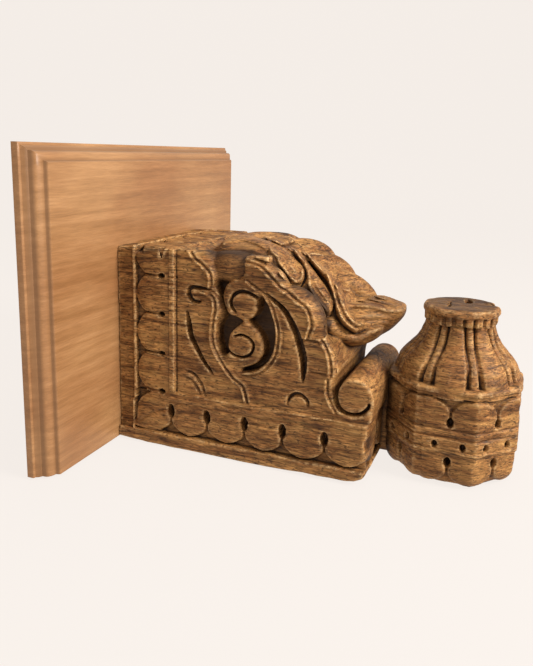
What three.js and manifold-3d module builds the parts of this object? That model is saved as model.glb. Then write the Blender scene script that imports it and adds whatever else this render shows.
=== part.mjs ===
// Carved wooden corbel on a moulded backboard, in millimetres, +Z up.
// The wall is the plane y = 0 and the corbel reaches out along -Y.
// The origin is the middle of the backboard's back face.
// The corbel is one block of old timber: petal bands, scrolled side panels, an acanthus leaf
// that ends in a raised tip, a rolled end below it and a free-standing lotus bud in front.
// Carving is measured in u (out from the board's face), z (up from the board's foot) and x.

import * as THREE from 'three';
import { ParametricGeometry } from 'three/addons/geometries/ParametricGeometry.js';
import { mergeVertices } from 'three/addons/utils/BufferGeometryUtils.js';
import Module from 'manifold-3d';

const wasm = await Module();
wasm.setup();

// Backboard
const boardWidth = 338;
const boardHeight = 254;
const boardThick = 20;
const mouldWidth = 13.5;
const mouldEdge = 6;

// Block
const gap = 0.3;
const blockWidth = 150;
const blockTop = 172.6;
const blockReach = 223;
const footProud = 2.5;
const footReach = 228.5;
const footTop = 10;
const friezeTop = 38.5;
const shelfTop = 49;
const panelSink = 1.5;

// Petal bands
const stripWidth = 15.5;
const stripSink = 2;
const petalStart = 18.5;
const petalEnd = 50;
const ridgeEnd = 56;
const backPitch = 33.5;
const footPitch = 34.2;
const topPitch = 34.5;
const cutDepth = 4;
const firstFootCusp = 52;
const firstBackCusp = 48.5;
const footPetalBottom = 11;

// Side panel
const pocketDepth = 13;
const slitDepth = 6;
const grooveWidth = 2.6;
const grooveDepth = 4.5;
const upperVolute = { u: 114.5, z: 136.5, r: 17 };
const lowerVolute = { u: 120, z: 98.5, r: 16.5 };

// Above the foot the far side (+X) is drawn in: past the ridge its wall slants to a nearer plane,
// where the side panel and the roll end, and the throat under the leaf stops shorter still
const farWall = 48;
const slantEnd = 84;
const throatFar = 30;

// Roll at the lower front
const rollCentre = { u: 209.5, z: 68 };
const rollRadius = 16;
const rollEye = 12.3;
const rollGroove = 3.2;
const rollEyeDepth = 5;

// Acanthus leaf
const leafHalf = 42;
const tipReach = 233;

// Bud
const budCentre = 279.7;
const budApothem = 49.5;
const budFaces = 8;
const bandBottom = 26;
const bandTop = 46;
const rimTop = 79;
const discRadius = 30;
const discTop = 135;
const vaseShift = 2.5;
const budCutDepth = 4;

const half = blockWidth / 2;
const sideOver = 6;
const point = (u, z) => new THREE.Vector2(u, z);

// Closed geometry to solid and back
function solid(geometry) {
  const plain = geometry.clone();
  plain.deleteAttribute('normal');
  plain.deleteAttribute('uv');
  const merged = mergeVertices(plain, 1e-4);
  const index = Array.from(merged.index.array);
  const kept = [];
  for (let i = 0; i < index.length; i += 3) {
    const [a, b, c] = index.slice(i, i + 3);
    if (a !== b && b !== c && c !== a) kept.push(a, b, c);
  }
  return new wasm.Manifold(new wasm.Mesh({
    numProp: 3,
    vertProperties: new Float32Array(merged.attributes.position.array),
    triVerts: new Uint32Array(kept),
  }));
}

// A closed surface whose faces may point in: turned over where they do
function outwards(geometry) {
  const body = solid(geometry);
  if (body.volume() > 0) return body;
  const flipped = geometry.clone();
  flipped.setIndex(Array.from(geometry.index.array).reverse());
  return solid(flipped);
}

function geometryOf(body) {
  const mesh = body.getMesh();
  const geometry = new THREE.BufferGeometry();
  geometry.setAttribute('position', new THREE.BufferAttribute(mesh.vertProperties, 3));
  geometry.setIndex(new THREE.BufferAttribute(mesh.triVerts, 1));
  geometry.computeVertexNormals();
  return geometry;
}

const joined = (bodies) => bodies.reduce((sum, body) => sum.add(body));

function extruded(shape, depth, curveSegments) {
  return new THREE.ExtrudeGeometry(shape, { depth, bevelEnabled: false, curveSegments });
}

// Block frame: u, z and x to the row's own axes
const blockBack = -boardThick - gap;
const blockFoot = -boardHeight / 2;

function placed(geometry, right, up, out, origin) {
  const turn = new THREE.Matrix4().makeBasis(right, up, out).setPosition(origin);
  return solid(geometry.applyMatrix4(turn));
}

const xAxis = new THREE.Vector3(1, 0, 0);
const uAxis = new THREE.Vector3(0, -1, 0);
const zAxis = new THREE.Vector3(0, 0, 1);

// An outline in u and z, from x = high down to x = low
function acrossX(shape, high, low, segments = 8) {
  const origin = new THREE.Vector3(high, blockBack, blockFoot);
  const geometry = extruded(shape, high - low, segments);
  return placed(geometry, uAxis, zAxis, xAxis.clone().negate(), origin);
}

// An outline in x and z, from u = near out to u = far
function acrossU(shape, near, far, segments = 8) {
  const origin = new THREE.Vector3(0, blockBack - near, blockFoot);
  return placed(extruded(shape, far - near, segments), xAxis, zAxis, uAxis, origin);
}

// An outline in x and u, from z = high down to z = low
function acrossZ(shape, high, low, segments = 8) {
  const origin = new THREE.Vector3(0, blockBack, blockFoot + high);
  return placed(extruded(shape, high - low, segments), xAxis, uAxis, zAxis.clone().negate(), origin);
}

// A cut into the near side (-X) of the block, as deep as given, and the same on both sides
function nearSide(shape, depth, segments = 8) {
  return acrossX(shape, -half + depth, -half - sideOver, segments);
}

function bothSides(shape, depth, wall = half, segments = 8) {
  return nearSide(shape, depth, segments).add(acrossX(shape, wall + sideOver, wall - depth, segments));
}

function box(u0, u1, z0, z1) {
  return new THREE.Shape([point(u0, z0), point(u1, z0), point(u1, z1), point(u0, z1)]);
}

function disc(centre, radius) {
  const shape = new THREE.Shape();
  shape.absarc(centre.u, centre.z, radius, 0, 2 * Math.PI);
  return shape;
}

// A groove along an arc: turns are in degrees, counter-clockwise from +u
function arcGroove(centre, radius, width, from, to, steps) {
  const outer = [];
  const inner = [];
  for (let i = 0; i <= steps; i++) {
    const turn = THREE.MathUtils.degToRad(from + ((to - from) * i) / steps);
    const ray = point(Math.cos(turn), Math.sin(turn));
    const middle = point(centre.u, centre.z);
    outer.push(middle.clone().addScaledVector(ray, radius + width / 2));
    inner.unshift(middle.clone().addScaledVector(ray, radius - width / 2));
  }
  return new THREE.Shape([...outer, ...inner]);
}

// A leaf slit: a curve through the points, widest where told, closing to nothing at its ends
function slit(points, width, widest) {
  const curve = new THREE.SplineCurve(points);
  const steps = 9;
  const left = [];
  const right = [];
  for (let i = 0; i <= steps; i++) {
    const t = i / steps;
    const swell = t < widest ? t / widest : (1 - t) / (1 - widest);
    const offset = 0.25 + (width / 2) * Math.sqrt(swell);
    const at = curve.getPoint(t);
    const along = curve.getTangent(t);
    left.push(point(at.x - along.y * offset, at.y + along.x * offset));
    right.unshift(point(at.x + along.y * offset, at.y - along.x * offset));
  }
  return new THREE.Shape([...right.reverse(), ...left.reverse()]);
}

// The ground between two round-ended petals, and the drilled slot behind it.
// It is drawn with the petals' tips towards +b and the cusp at a = 0.
function cuspCut(tip, halfWidth, slotLength) {
  const shape = new THREE.Shape();
  const neck = 0.7;
  const slotHalf = 2.2;
  const neckAt = tip * 0.52;
  shape.moveTo(-halfWidth, tip);
  shape.quadraticCurveTo(-neck * 2, tip * 0.95, -neck, neckAt);
  shape.lineTo(-neck, 2);
  shape.quadraticCurveTo(-slotHalf, -slotLength * 0.2, -slotHalf, -slotLength * 0.45);
  shape.quadraticCurveTo(-slotHalf, -slotLength, 0, -slotLength);
  shape.quadraticCurveTo(slotHalf, -slotLength, slotHalf, -slotLength * 0.45);
  shape.quadraticCurveTo(slotHalf, -slotLength * 0.2, neck, 2);
  shape.lineTo(neck, neckAt);
  shape.quadraticCurveTo(neck * 2, tip * 0.95, halfWidth, tip);
  return shape;
}

// cuspCut turned and moved: turn is the direction of the petals' tips, in degrees from +b
function cuspAt(a, b, turn, tip, halfWidth, slotLength) {
  const angle = THREE.MathUtils.degToRad(turn);
  const middle = point(0, 0);
  const outline = cuspCut(tip, halfWidth, slotLength).getPoints(2);
  const moved = outline.map((p) => p.clone().rotateAround(middle, angle).add(point(a, b)));
  return new THREE.Shape(moved);
}

function makeBackboard() {
  // Depth of the moulding at each step in from the edge: fillet, cove, ovolo, small flat
  const steps = [
    [0, mouldEdge], [2, mouldEdge], [2.8, 8.2], [5, 9.8], [5.8, 12.4], [7.6, 14.8],
    [10, 16.2], [12.6, 16.8], [mouldWidth, boardThick],
  ];
  const w = boardWidth / 2;
  const h = boardHeight / 2;
  const left = steps.map(([inset, depth]) => point(-w + inset, -depth));
  const right = steps.map(([inset, depth]) => point(w - inset, -depth)).reverse();
  const plan = new THREE.Shape([point(-w, 0), ...left, ...right, point(w, 0)].reverse());
  const upright = placed(extruded(plan, boardHeight, 1), xAxis, new THREE.Vector3(0, 1, 0), zAxis,
    new THREE.Vector3(0, 0, -h));
  const top = steps.map(([inset, depth]) => point(depth, h - inset));
  const section = new THREE.Shape([point(0, h), point(0, -h), point(boardThick, -h), ...top.reverse()]);
  const level = placed(extruded(section, boardWidth, 1), uAxis, zAxis, xAxis.clone().negate(),
    new THREE.Vector3(w, 0, 0));
  return upright.intersect(level);
}

// Side outline of the block from the near side to the throat's far edge, with its lobed front
function sideOutline() {
  const shape = new THREE.Shape();
  shape.moveTo(0, 0);
  shape.lineTo(blockReach, 0);
  shape.lineTo(blockReach, shelfTop + 3);
  shape.absarc(rollCentre.u, rollCentre.z, rollRadius, -0.55, 2.0, false);
  shape.lineTo(196.5, 86);
  shape.splineThru([point(193.5, 96), point(190, 105), point(184.5, 114)]);
  shape.splineThru([point(183.5, 126), point(177, 137), point(166, 146), point(153, 149.5)]);
  shape.splineThru([point(148, 158), point(138, 165.5)]);
  shape.lineTo(137.5, blockTop);
  shape.lineTo(0, blockTop);
  return shape;
}

// Side outline of the far wing: the near side's, cut back where the throat stops short
function farOutline() {
  const shape = new THREE.Shape();
  shape.moveTo(0, 0);
  shape.lineTo(blockReach, 0);
  shape.lineTo(blockReach, shelfTop);
  shape.lineTo(184, shelfTop);
  shape.splineThru([point(183, 72), point(181, 98), point(181, 124)]);
  shape.splineThru([point(176, 134), point(166, 143), point(154, 148)]);
  shape.splineThru([point(148, 157), point(138, 163)]);
  shape.lineTo(124, 165);
  shape.lineTo(112, 170);
  shape.lineTo(62, blockTop - 1.5);
  shape.lineTo(0, blockTop - 1.5);
  return shape;
}

// Back of the leaf on the middle plane, its underside at the tip, its half width and how far
// its sides fall below its back, each from u
const leafStart = 70;
const leafBack = new THREE.SplineCurve([point(leafStart, 162), point(86, 173), point(112, 178),
  point(140, 173), point(162, 163), point(176, 150), point(188, 138), point(202, 132), point(218, 131),
  point(tipReach, 127)]);
const leafUnder = new THREE.SplineCurve([point(leafStart, 100), point(150, 90), point(196, 90),
  point(208, 98), point(222, 107), point(229, 117), point(tipReach, 127)]);
const leafSide = new THREE.SplineCurve([point(leafStart, 34), point(90, 40), point(150, leafHalf),
  point(184, 38), point(206, 21), point(224, 12), point(tipReach, 0)]);

// Height of a curve at u: the curve's points run outwards, so the stretch is found by halving
function heightAt(curve, u) {
  let low = 0;
  let high = 1;
  for (let i = 0; i < 24; i++) {
    const middle = (low + high) / 2;
    if (curve.getPoint(middle).x < u) low = middle;
    else high = middle;
  }
  return curve.getPoint(low).y;
}

// The leaf's body: a dome in section, low at its sides, that narrows to the raised tip
function leafBody() {
  const surface = (s, t, target) => {
    const u = leafStart + (tipReach - leafStart) * t;
    const back = heightAt(leafBack, u);
    const under = heightAt(leafUnder, u);
    const side = t > 0.03 && t < 1 ? heightAt(leafSide, u) : 0;
    const shoulder = back - Math.min(6 + 0.18 * (u - leafStart), 0.62 * (back - under));
    const turn = 2 * Math.PI * s;
    const rise = Math.sin(turn);
    const z = rise > 0 ? shoulder + (back - shoulder) * rise : shoulder + (shoulder - under) * rise;
    target.set(side * Math.cos(turn), blockBack - u, blockFoot + (side > 0 ? z : shoulder));
  };
  return outwards(new ParametricGeometry(surface, 18, 24));
}

// The deep pocket around the two volutes of a side panel
function pocketOutline() {
  const shape = new THREE.Shape();
  shape.moveTo(84, blockTop + 4);
  shape.splineThru([point(89, 166), point(96, 152), point(94, 143), point(99, 126),
    point(96, 110), point(98, 97), point(107, 87)]);
  shape.lineTo(118, 77.5);
  shape.splineThru([point(134, 84), point(142.5, 102), point(141, 121), point(130, 140.5)]);
  shape.lineTo(117, 150);
  shape.lineTo(117, blockTop + 4);
  return shape;
}

// One lobe of the leaf: round in section, fat in the middle, along a bent line from root to tip
function leafLobe(root, bend, tip, width, thick) {
  const row = ([x, u, z]) => new THREE.Vector3(x, blockBack - u, blockFoot + z);
  const spine = new THREE.QuadraticBezierCurve3(row(root), row(bend), row(tip));
  const surface = (s, t, target) => {
    const along = spine.getTangent(t);
    const across = new THREE.Vector3().crossVectors(along, zAxis).normalize();
    const rise = new THREE.Vector3().crossVectors(across, along);
    const swell = Math.sqrt(Math.max(0, Math.sin(Math.PI * Math.pow(t, 1.25))));
    const turn = 2 * Math.PI * s;
    target.copy(spine.getPoint(t));
    target.addScaledVector(across, (width / 2) * swell * Math.cos(turn));
    target.addScaledVector(rise, (thick / 2) * swell * Math.sin(turn));
  };
  return outwards(new ParametricGeometry(surface, 10, 7));
}

function makeLeaf() {
  const bodies = [];
  for (const side of [-1, 1]) {
    const drop = side > 0 ? 6 : 0;
    const lobe = (root, bend, tip, width, thick) => {
      const at = ([x, u, z], fall) => [side * x, u, z - drop * fall];
      bodies.push(leafLobe(at(root, 0.5), at(bend, 1), at(tip, 1), width, thick));
    };
    lobe([24, 92, 166], [40, 138, 174], [38, 159, 144], 22, 13);
    lobe([20, 122, 162], [38, 162, 162], [36, 183, 120], 24, 14);
    lobe([8, 150, 154 - drop], [26, 194 - drop, 142 - drop], [36, 208 - drop, 108], 26, 26);
  }
  bodies.push(leafLobe([-60, 82, 158], [-60, 100, 166], [-60, 119, 156], 24, 22));
  return joined(bodies);
}

// Petal bands: back edge of both sides and of the top, foot of both sides and of the front
function bandCuts() {
  const cuts = [];
  const tip = petalEnd - 9 - petalStart;
  const slot = 7;
  const cuspHalf = 12.5;
  for (let i = 0; i < 4; i++) {
    const z = firstBackCusp + backPitch * i;
    cuts.push(bothSides(cuspAt(petalEnd - 9, z, 90, tip, cuspHalf, slot), cutDepth));
  }
  for (let i = 0; i < 5; i++) {
    const u = firstFootCusp + footPitch * i;
    const base = friezeTop - 11;
    cuts.push(bothSides(cuspAt(u, base, 180, base - footPetalBottom, 11, 9), cutDepth));
  }
  for (const x of [-2, -1, 0, 1, 2]) {
    const topCusp = cuspAt(x * topPitch, petalEnd - 9, 180, tip, cuspHalf, slot);
    cuts.push(acrossZ(topCusp, blockTop + 5, blockTop - cutDepth));
    const base = friezeTop - 11;
    const frontCusp = cuspAt(x * topPitch, base, 180, base - footPetalBottom, 11, 9);
    cuts.push(acrossU(frontCusp, blockReach - cutDepth, blockReach + 2));
  }
  cuts.push(bothSides(box(-1, stripWidth, -1, blockTop + 3), stripSink));
  const strip = new THREE.Shape([point(-half - 2, -1), point(half + 2, -1),
    point(half + 2, stripWidth), point(-half - 2, stripWidth)]);
  cuts.push(acrossZ(strip, blockTop + 2, blockTop - stripSink));
  return joined(cuts);
}

// Everything carved into the side panels
function panelCuts() {
  const faceCut = panelSink + grooveDepth;
  const volutes = [upperVolute, lowerVolute].map((v) => bothSides(disc(v, v.r), pocketDepth + 2, farWall, 12));
  const slant = new THREE.Shape([point(farWall, slantEnd), point(half, ridgeEnd),
    point(half + sideOver, ridgeEnd), point(half + sideOver, blockReach + sideOver),
    point(farWall, blockReach + sideOver)]);
  const cuts = [
    acrossZ(slant, blockTop + sideOver, shelfTop),
    nearSide(box(ridgeEnd, 240, shelfTop, blockTop + 3), panelSink),
    bothSides(pocketOutline(), pocketDepth, farWall, 3).subtract(joined(volutes)),
    bothSides(arcGroove({ u: 118.5, z: 132 }, 11.3, grooveWidth, 15, 215, 12), faceCut, farWall),
    bothSides(arcGroove({ u: 116.3, z: 98.8 }, 9.9, grooveWidth, 175, 455, 14), faceCut, farWall),
    nearSide(arcGroove({ u: 74.5, z: 133.5 }, 5.5, 2, 100, 290, 6), faceCut),
    nearSide(arcGroove({ u: 165.5, z: 55.5 }, 8.5, 2, -5, 185, 8), faceCut),
    bothSides(arcGroove(rollCentre, rollEye, rollGroove, 115, 365, 12), panelSink + rollEyeDepth, farWall),
    nearSide(slit([point(68, 120), point(68.5, 108), point(74, 93), point(91, 70)], 4, 0.2), slitDepth),
    bothSides(slit([point(134, 144), point(153, 130), point(166, 105), point(168.5, 76)], 5.5, 0.8),
      slitDepth, farWall),
  ];
  return joined(cuts);
}

function makeBlock() {
  const roll = acrossX(disc(rollCentre, rollRadius - 2), farWall, throatFar - 2, 10);
  const seat = acrossX(box(198, blockReach, shelfTop - 2, 60), farWall - 2, throatFar - 2);
  const sides = joined([
    acrossX(sideOutline(), throatFar, -half, 10),
    acrossX(farOutline(), half, throatFar - 2, 6),
    roll,
    seat,
  ]);
  const foot = new THREE.Shape([point(-half - footProud, 0), point(half + footProud, 0),
    point(half + footProud, footReach), point(-half - footProud, footReach)]);
  const neck = new THREE.Shape([point(-18, 4), point(18, 4), point(18, 74), point(-18, 74)]);
  const whole = joined([
    sides.subtract(bandCuts()).subtract(panelCuts()),
    leafBody(),
    makeLeaf(),
    acrossZ(foot, footTop, 0),
    acrossU(neck, 212, budCentre - budApothem + 4),
  ]);
  // The undercut that parts the roll from the hollow front, right through the block
  const under = new THREE.Shape([point(196.5, 88), point(202.8, 82.2), point(199, 77),
    point(197.6, 69), point(199.6, 61), point(195.5, 63), point(194.4, 72), point(195, 82)]);
  return whole.subtract(acrossX(under, half + 5, -half - 5));
}

// Bud: octagonal foot with two rows of petals, then a lobed vase and its disc
function makeBud() {
  const centre = new THREE.Vector3(0, blockBack - budCentre, blockFoot);
  const corner = 1 / Math.cos(Math.PI / budFaces);
  const a = budApothem;
  const footProfile = [
    [0, -1.5], [a - 9, -1.5], [a - 3, 2], [a - 1.5, 8], [a - 1.5, bandBottom - 1], [a, bandBottom],
    [a, bandTop - 1], [a - 1, bandTop], [a - 1, 70.5], [a, 71.5], [a, rimTop - 1.5],
    [a - 1.5, rimTop], [0, rimTop],
  ].map(([r, z]) => point(r * corner, z));
  // The lathe turns about its own Y, which becomes +Z; half a face of turn sets flats square on
  const turned = new THREE.LatheGeometry(footProfile, budFaces, Math.PI / budFaces);
  const foot = placed(turned, xAxis, zAxis, uAxis, centre);

  const cuts = [];
  for (let i = 0; i < budFaces; i++) {
    const turn = (2 * Math.PI * i) / budFaces;
    const out = new THREE.Vector3(Math.cos(turn), Math.sin(turn), 0);
    const along = new THREE.Vector3().crossVectors(zAxis, out);
    const start = centre.clone().addScaledVector(out, a - budCutDepth);
    const cut = (shape) => placed(extruded(shape, budCutDepth + 2, 3), along, zAxis, out, start);
    cuts.push(cut(cuspAt(0, 56, 0, 13, 8.5, 6)));
    cuts.push(cut(cuspAt(0, 15, 180, 15, 11, 8)));
    for (const hole of [-10.5, 10.5]) cuts.push(cut(disc({ u: hole, z: 33.5 }, 2.2)));
  }

  // Eight broad lobes on the faces, parted by narrow ribs at the corners between two grooves
  const radiusAt = new THREE.SplineCurve([point(rimTop - 2, 48.5), point(84, 46.5), point(93, 42),
    point(102, 35), point(112, 29), point(125, 26)]);
  const vase = (s, t, target) => {
    const turn = 2 * Math.PI * s;
    const last = 0.999;
    const onSide = THREE.MathUtils.clamp((t - 0.05) / 0.9, 0, 1);
    const at = radiusAt.getPoint(onSide);
    const closing = t < 0.04 || t > 0.96 ? 0 : 1;
    const phase = THREE.MathUtils.euclideanModulo((turn * budFaces) / (2 * Math.PI), 1);
    const fromCorner = Math.abs(phase - 0.5) * 2;
    const groove = Math.exp(-Math.pow((fromCorner - 0.72) / 0.12, 2));
    const belly = 0.02 * Math.cos(Math.PI * fromCorner);
    const r = at.y * closing * last * (1 + belly - 0.055 * groove);
    target.set(r * Math.cos(turn), r * Math.sin(turn), at.x);
  };
  const move = new THREE.Matrix4().setPosition(centre.clone().add(new THREE.Vector3(0, vaseShift, 0)));
  const lobes = outwards(new ParametricGeometry(vase, 64, 9).applyMatrix4(move));
  const discProfile = [[0, 118], [25.5, 118], [26.5, 125], [discRadius - 1, 128.5], [discRadius, 131.5],
    [discRadius - 1.5, discTop - 0.7], [0, discTop]].map(([r, z]) => point(r, z));
  const lid = placed(new THREE.LatheGeometry(discProfile, 24), xAxis, zAxis, uAxis,
    centre.clone().add(new THREE.Vector3(0, vaseShift, 0)));
  return joined([foot.subtract(joined(cuts)), lobes, lid]);
}

function makeCorbel() {
  return makeBlock().add(makeBud());
}

function part(name, body, colour, roughness) {
  const material = new THREE.MeshStandardMaterial({ color: colour, roughness, metalness: 0 });
  const mesh = new THREE.Mesh(geometryOf(body), material);
  mesh.name = name;
  return mesh;
}

const corbelGroup = new THREE.Group();
corbelGroup.add(part('backboard', makeBackboard(), '#b98d62', 0.5));
corbelGroup.add(part('corbel', makeCorbel(), '#8a6238', 0.62));

export default corbelGroup;
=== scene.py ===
import math

import bmesh
import bpy
import numpy as np
import openvdb
from mathutils import Matrix, Vector


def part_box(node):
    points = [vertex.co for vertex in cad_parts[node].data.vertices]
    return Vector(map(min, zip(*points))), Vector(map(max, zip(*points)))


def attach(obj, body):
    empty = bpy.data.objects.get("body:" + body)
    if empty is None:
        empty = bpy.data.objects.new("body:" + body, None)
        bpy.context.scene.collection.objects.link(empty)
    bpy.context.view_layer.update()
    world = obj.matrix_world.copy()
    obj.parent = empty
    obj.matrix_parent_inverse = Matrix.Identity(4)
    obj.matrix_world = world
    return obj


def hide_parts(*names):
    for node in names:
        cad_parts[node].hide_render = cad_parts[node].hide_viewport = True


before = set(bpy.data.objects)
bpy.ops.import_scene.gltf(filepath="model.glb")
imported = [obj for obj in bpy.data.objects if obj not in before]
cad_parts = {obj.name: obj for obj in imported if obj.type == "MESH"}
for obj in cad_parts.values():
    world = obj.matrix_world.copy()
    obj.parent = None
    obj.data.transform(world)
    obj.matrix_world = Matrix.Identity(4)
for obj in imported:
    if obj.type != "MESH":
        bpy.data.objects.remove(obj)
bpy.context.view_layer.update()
mm = 0.001
boardLow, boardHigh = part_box("backboard")
boardFoot = boardLow[2] / mm
blockBack = boardLow[1] / mm - 0.3  # the block's back, a hair in front of the board


# Camera

cameraView = {
    "place": (-0.5414, -0.3420, 0.1244),  # metres
    "heading": 68.43,  # degrees from +Y towards +X
    "down": 11.38,
    "roll": 1.404,
    "lens": 35.79,
    "shiftY": -0.0727,
}


# The heading turns about the upright axis, then the camera tips down and rolls
def addCamera(view):
    camera = bpy.data.objects.new("camera", bpy.data.cameras.new("camera"))
    bpy.context.scene.collection.objects.link(camera)
    camera.data.lens = view["lens"]
    camera.data.shift_y = view["shiftY"]
    turn = Matrix.Rotation(-math.radians(view["heading"]), 4, "Z")
    turn = turn @ Matrix.Rotation(math.radians(90 - view["down"]), 4, "X")
    turn = turn @ Matrix.Rotation(math.radians(view["roll"]), 4, "Z")
    camera.matrix_world = Matrix.Translation(view["place"]) @ turn
    bpy.context.scene.camera = camera


addCamera(cameraView)
print("camera placed")


# Making a mesh from arrays


# A mesh object from points in metres and quads of their numbers. The sum of corner triple products is six
# times the volume, and where it is negative the faces are turned outwards.
def addPiece(name, points, quads, material):
    corners = points[quads]
    outward = np.einsum("ij,ij->", corners[:, 0], np.cross(corners[:, 1], corners[:, 2]))
    outward += np.einsum("ij,ij->", corners[:, 0], np.cross(corners[:, 2], corners[:, 3]))
    if outward < 0:
        quads = quads[:, ::-1]
    mesh = bpy.data.meshes.new(name)
    mesh.vertices.add(len(points))
    mesh.vertices.foreach_set("co", points.astype(np.float32).ravel())
    mesh.loops.add(quads.size)
    mesh.loops.foreach_set("vertex_index", quads.astype(np.int32).ravel())
    mesh.polygons.add(len(quads))
    mesh.polygons.foreach_set("loop_start", np.arange(0, quads.size, 4, dtype=np.int32))
    mesh.update(calc_edges=True)
    mesh.validate()
    mesh.shade_smooth()
    mesh.materials.append(material)
    piece = bpy.data.objects.new(name, mesh)
    bpy.context.scene.collection.objects.link(piece)
    return piece


# Quads of a grid of rows by columns of points
def gridFaces(rows, columns):
    i, j = np.meshgrid(np.arange(rows - 1), np.arange(columns - 1), indexing="ij")
    first = i * columns + j
    return np.stack([first, first + 1, first + columns + 1, first + columns], -1).reshape(-1, 4)


# Curves and fields in a plane


# Smooth curve through points, Catmull-Rom: each span is a cubic that leaves and meets its neighbours evenly
def curveThrough(points, perSpan=6):
    p = np.array(points, float)
    p = np.vstack([2 * p[0] - p[1], p, 2 * p[-1] - p[-2]])
    a, b, c, d = p[:-3], p[1:-2], p[2:-1], p[3:]
    t = np.linspace(0, 1, perSpan, endpoint=False)[:, None, None]
    spans = b + 0.5 * ((c - a) * t + (2 * a - 5 * b + 4 * c - d) * t**2 + (3 * b - a - 3 * c + d) * t**3)
    return np.vstack([spans.transpose(1, 0, 2).reshape(-1, 2), p[-2]])


# Distance of each place to a line of points, with how far along it the nearest point is, from 0 to 1
def nearLine(line, u, h):
    a, b = line[:-1, :, None, None], line[1:, :, None, None]
    du, dh = b[:, 0] - a[:, 0], b[:, 1] - a[:, 1]
    t = ((u - a[:, 0]) * du + (h - a[:, 1]) * dh) / (du**2 + dh**2 + 1e-9)
    t = np.clip(t, 0, 1)
    gap = np.hypot(u - a[:, 0] - t * du, h - a[:, 1] - t * dh)
    nearest = gap.argmin(0)[None]
    length = np.hypot(du, dh)[:, 0, 0]
    start = np.concatenate([[0], np.cumsum(length)])[:-1][nearest[0]]
    along = (start + np.take_along_axis(t, nearest, 0)[0] * length[nearest[0]]) / length.sum()
    return np.take_along_axis(gap, nearest, 0)[0], along


# Even-odd rule: a place is inside where a ray from it crosses the outline an odd number of times
def insideOf(outline, u, h):
    a = outline[:, :, None, None]
    b = np.roll(outline, -1, 0)[:, :, None, None]
    spans = (a[:, 1] > h) != (b[:, 1] > h)
    crossing = a[:, 0] + (h - a[:, 1]) * (b[:, 0] - a[:, 0]) / (b[:, 1] - a[:, 1] + 1e-9)
    return (spans & (u < crossing)).sum(0) % 2 == 1


# Signed distance to a closed outline, negative inside
def outlineField(outline, u, h):
    gap, _ = nearLine(np.vstack([outline, outline[:1]]), u, h)
    return np.where(insideOf(outline, u, h), -gap, gap)


# 0 to 1 with soft ends as a distance passes from -width/2 to +width/2
def ease(distance, width):
    t = np.clip(distance / width + 0.5, 0, 1)
    return t * t * (3 - 2 * t)


# A round bump, 1 in the middle and 0 past the half width
def bump(distance, halfWidth):
    return np.clip(1 - (distance / halfWidth) ** 2, 0, 1)


# Lesser of two fields, with the join filled to the given radius
def merge(a, b, radius):
    fill = np.maximum(radius - np.abs(a - b), 0)
    return np.minimum(a, b) - fill**2 / (4 * radius)


# Greater of two fields, with the edge rounded to the given radius
def trim(a, b, radius):
    return -merge(-a, -b, radius)


# Even waviness: random heights on a coarse net, eased between its knots
def waviness(first, second, cell, seed):
    net = np.random.default_rng(seed).uniform(-1, 1, (64, 64))
    i, j = (first / cell[0]) % 62, (second / cell[1]) % 62
    i0, j0 = i.astype(int), j.astype(int)
    s, t = ease(i - i0 - 0.5, 1), ease(j - j0 - 0.5, 1)
    low = net[i0, j0] * (1 - t) + net[i0, j0 + 1] * t
    high = net[i0 + 1, j0] * (1 - t) + net[i0 + 1, j0 + 1] * t
    return low * (1 - s) + high * s


# Relief of the carved faces, in mm above (+) or below (-) the face


petalBand = {
    "stripEnd": 15.5,  # the plain sunk strip at the board ends here
    "start": 18.5,
    "end": 50,
    "ridgeEnd": 56.3,
    "sideCusps": (14.5, 48.3, 82, 116, 148.6, 182),
    "topCusps": (-107, -72.5, -38, -3, 31, 66, 101),
    "row": {"tip": 11.5, "power": 1.7, "low": 0.3, "ground": 4.6, "hole": (25, 3.0, 1.9), "deep": 6},
}
footBand = {
    "bottom": 11.5,
    "top": 40,
    "shelf": 49.5,
    "cusps": (18, 52, 86, 120, 153.3, 188.5, 223),
    "frontCusps": (-103, -68.8, -34.4, 0, 34.4, 68.8, 103),
    "row": {"tip": 11.5, "power": 1.7, "low": 0.4, "ground": 4.8, "hole": (20.2, 5.6, 2.9), "deep": 8},
}


# Where a place lies between its two cusps: -1 to 1, with the gap to the nearer cusp
def betweenCusps(cusps, place):
    c = np.array(cusps, float)
    i = np.clip(np.searchsorted(c, place) - 1, 0, len(c) - 2)
    half = (c[i + 1] - c[i]) / 2
    fromMiddle = (place - c[i] - half) / half
    return fromMiddle, (1 - np.abs(fromMiddle)) * half


# A row of petals with round tips: out is measured from the tips' line towards their roots.
# A petal's edge is a superellipse, rolled over at the rim; the ground past it is sunk; a drop-shaped hole
# is drilled at each parting, with a fine cut down to the cusp.
def petalRow(out, place, cusps, row):
    fromMiddle, toCusp = betweenCusps(cusps, place)
    tip, power, (at, long, wide) = row["tip"], row["power"], row["hole"]
    reach = np.clip((tip - out) / tip, 0, 2)
    oval = (reach**power + np.abs(fromMiddle) ** power) ** (1 / power)
    edge = np.where(out < tip, (1 - oval) * tip, toCusp)
    rolled = (1 - np.clip(edge / 4.5, 0, 1)) ** 2
    relief = -row["low"] - np.where(edge > 0, 1.1 * rolled, 0) * ease(tip + 4 - out, 6)
    relief = relief - row["ground"] * (1 - ease(edge, 1.2)) * ease(tip + 1 - out, 2)
    parting = bump(toCusp, 1.1) * ease(out - tip + 2, 2) * ease(at - out, 2)
    hole = np.hypot((out - at) / long, toCusp / wide)
    return relief - 1.8 * parting - row["deep"] * ease(1 - hole, 0.45)


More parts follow.
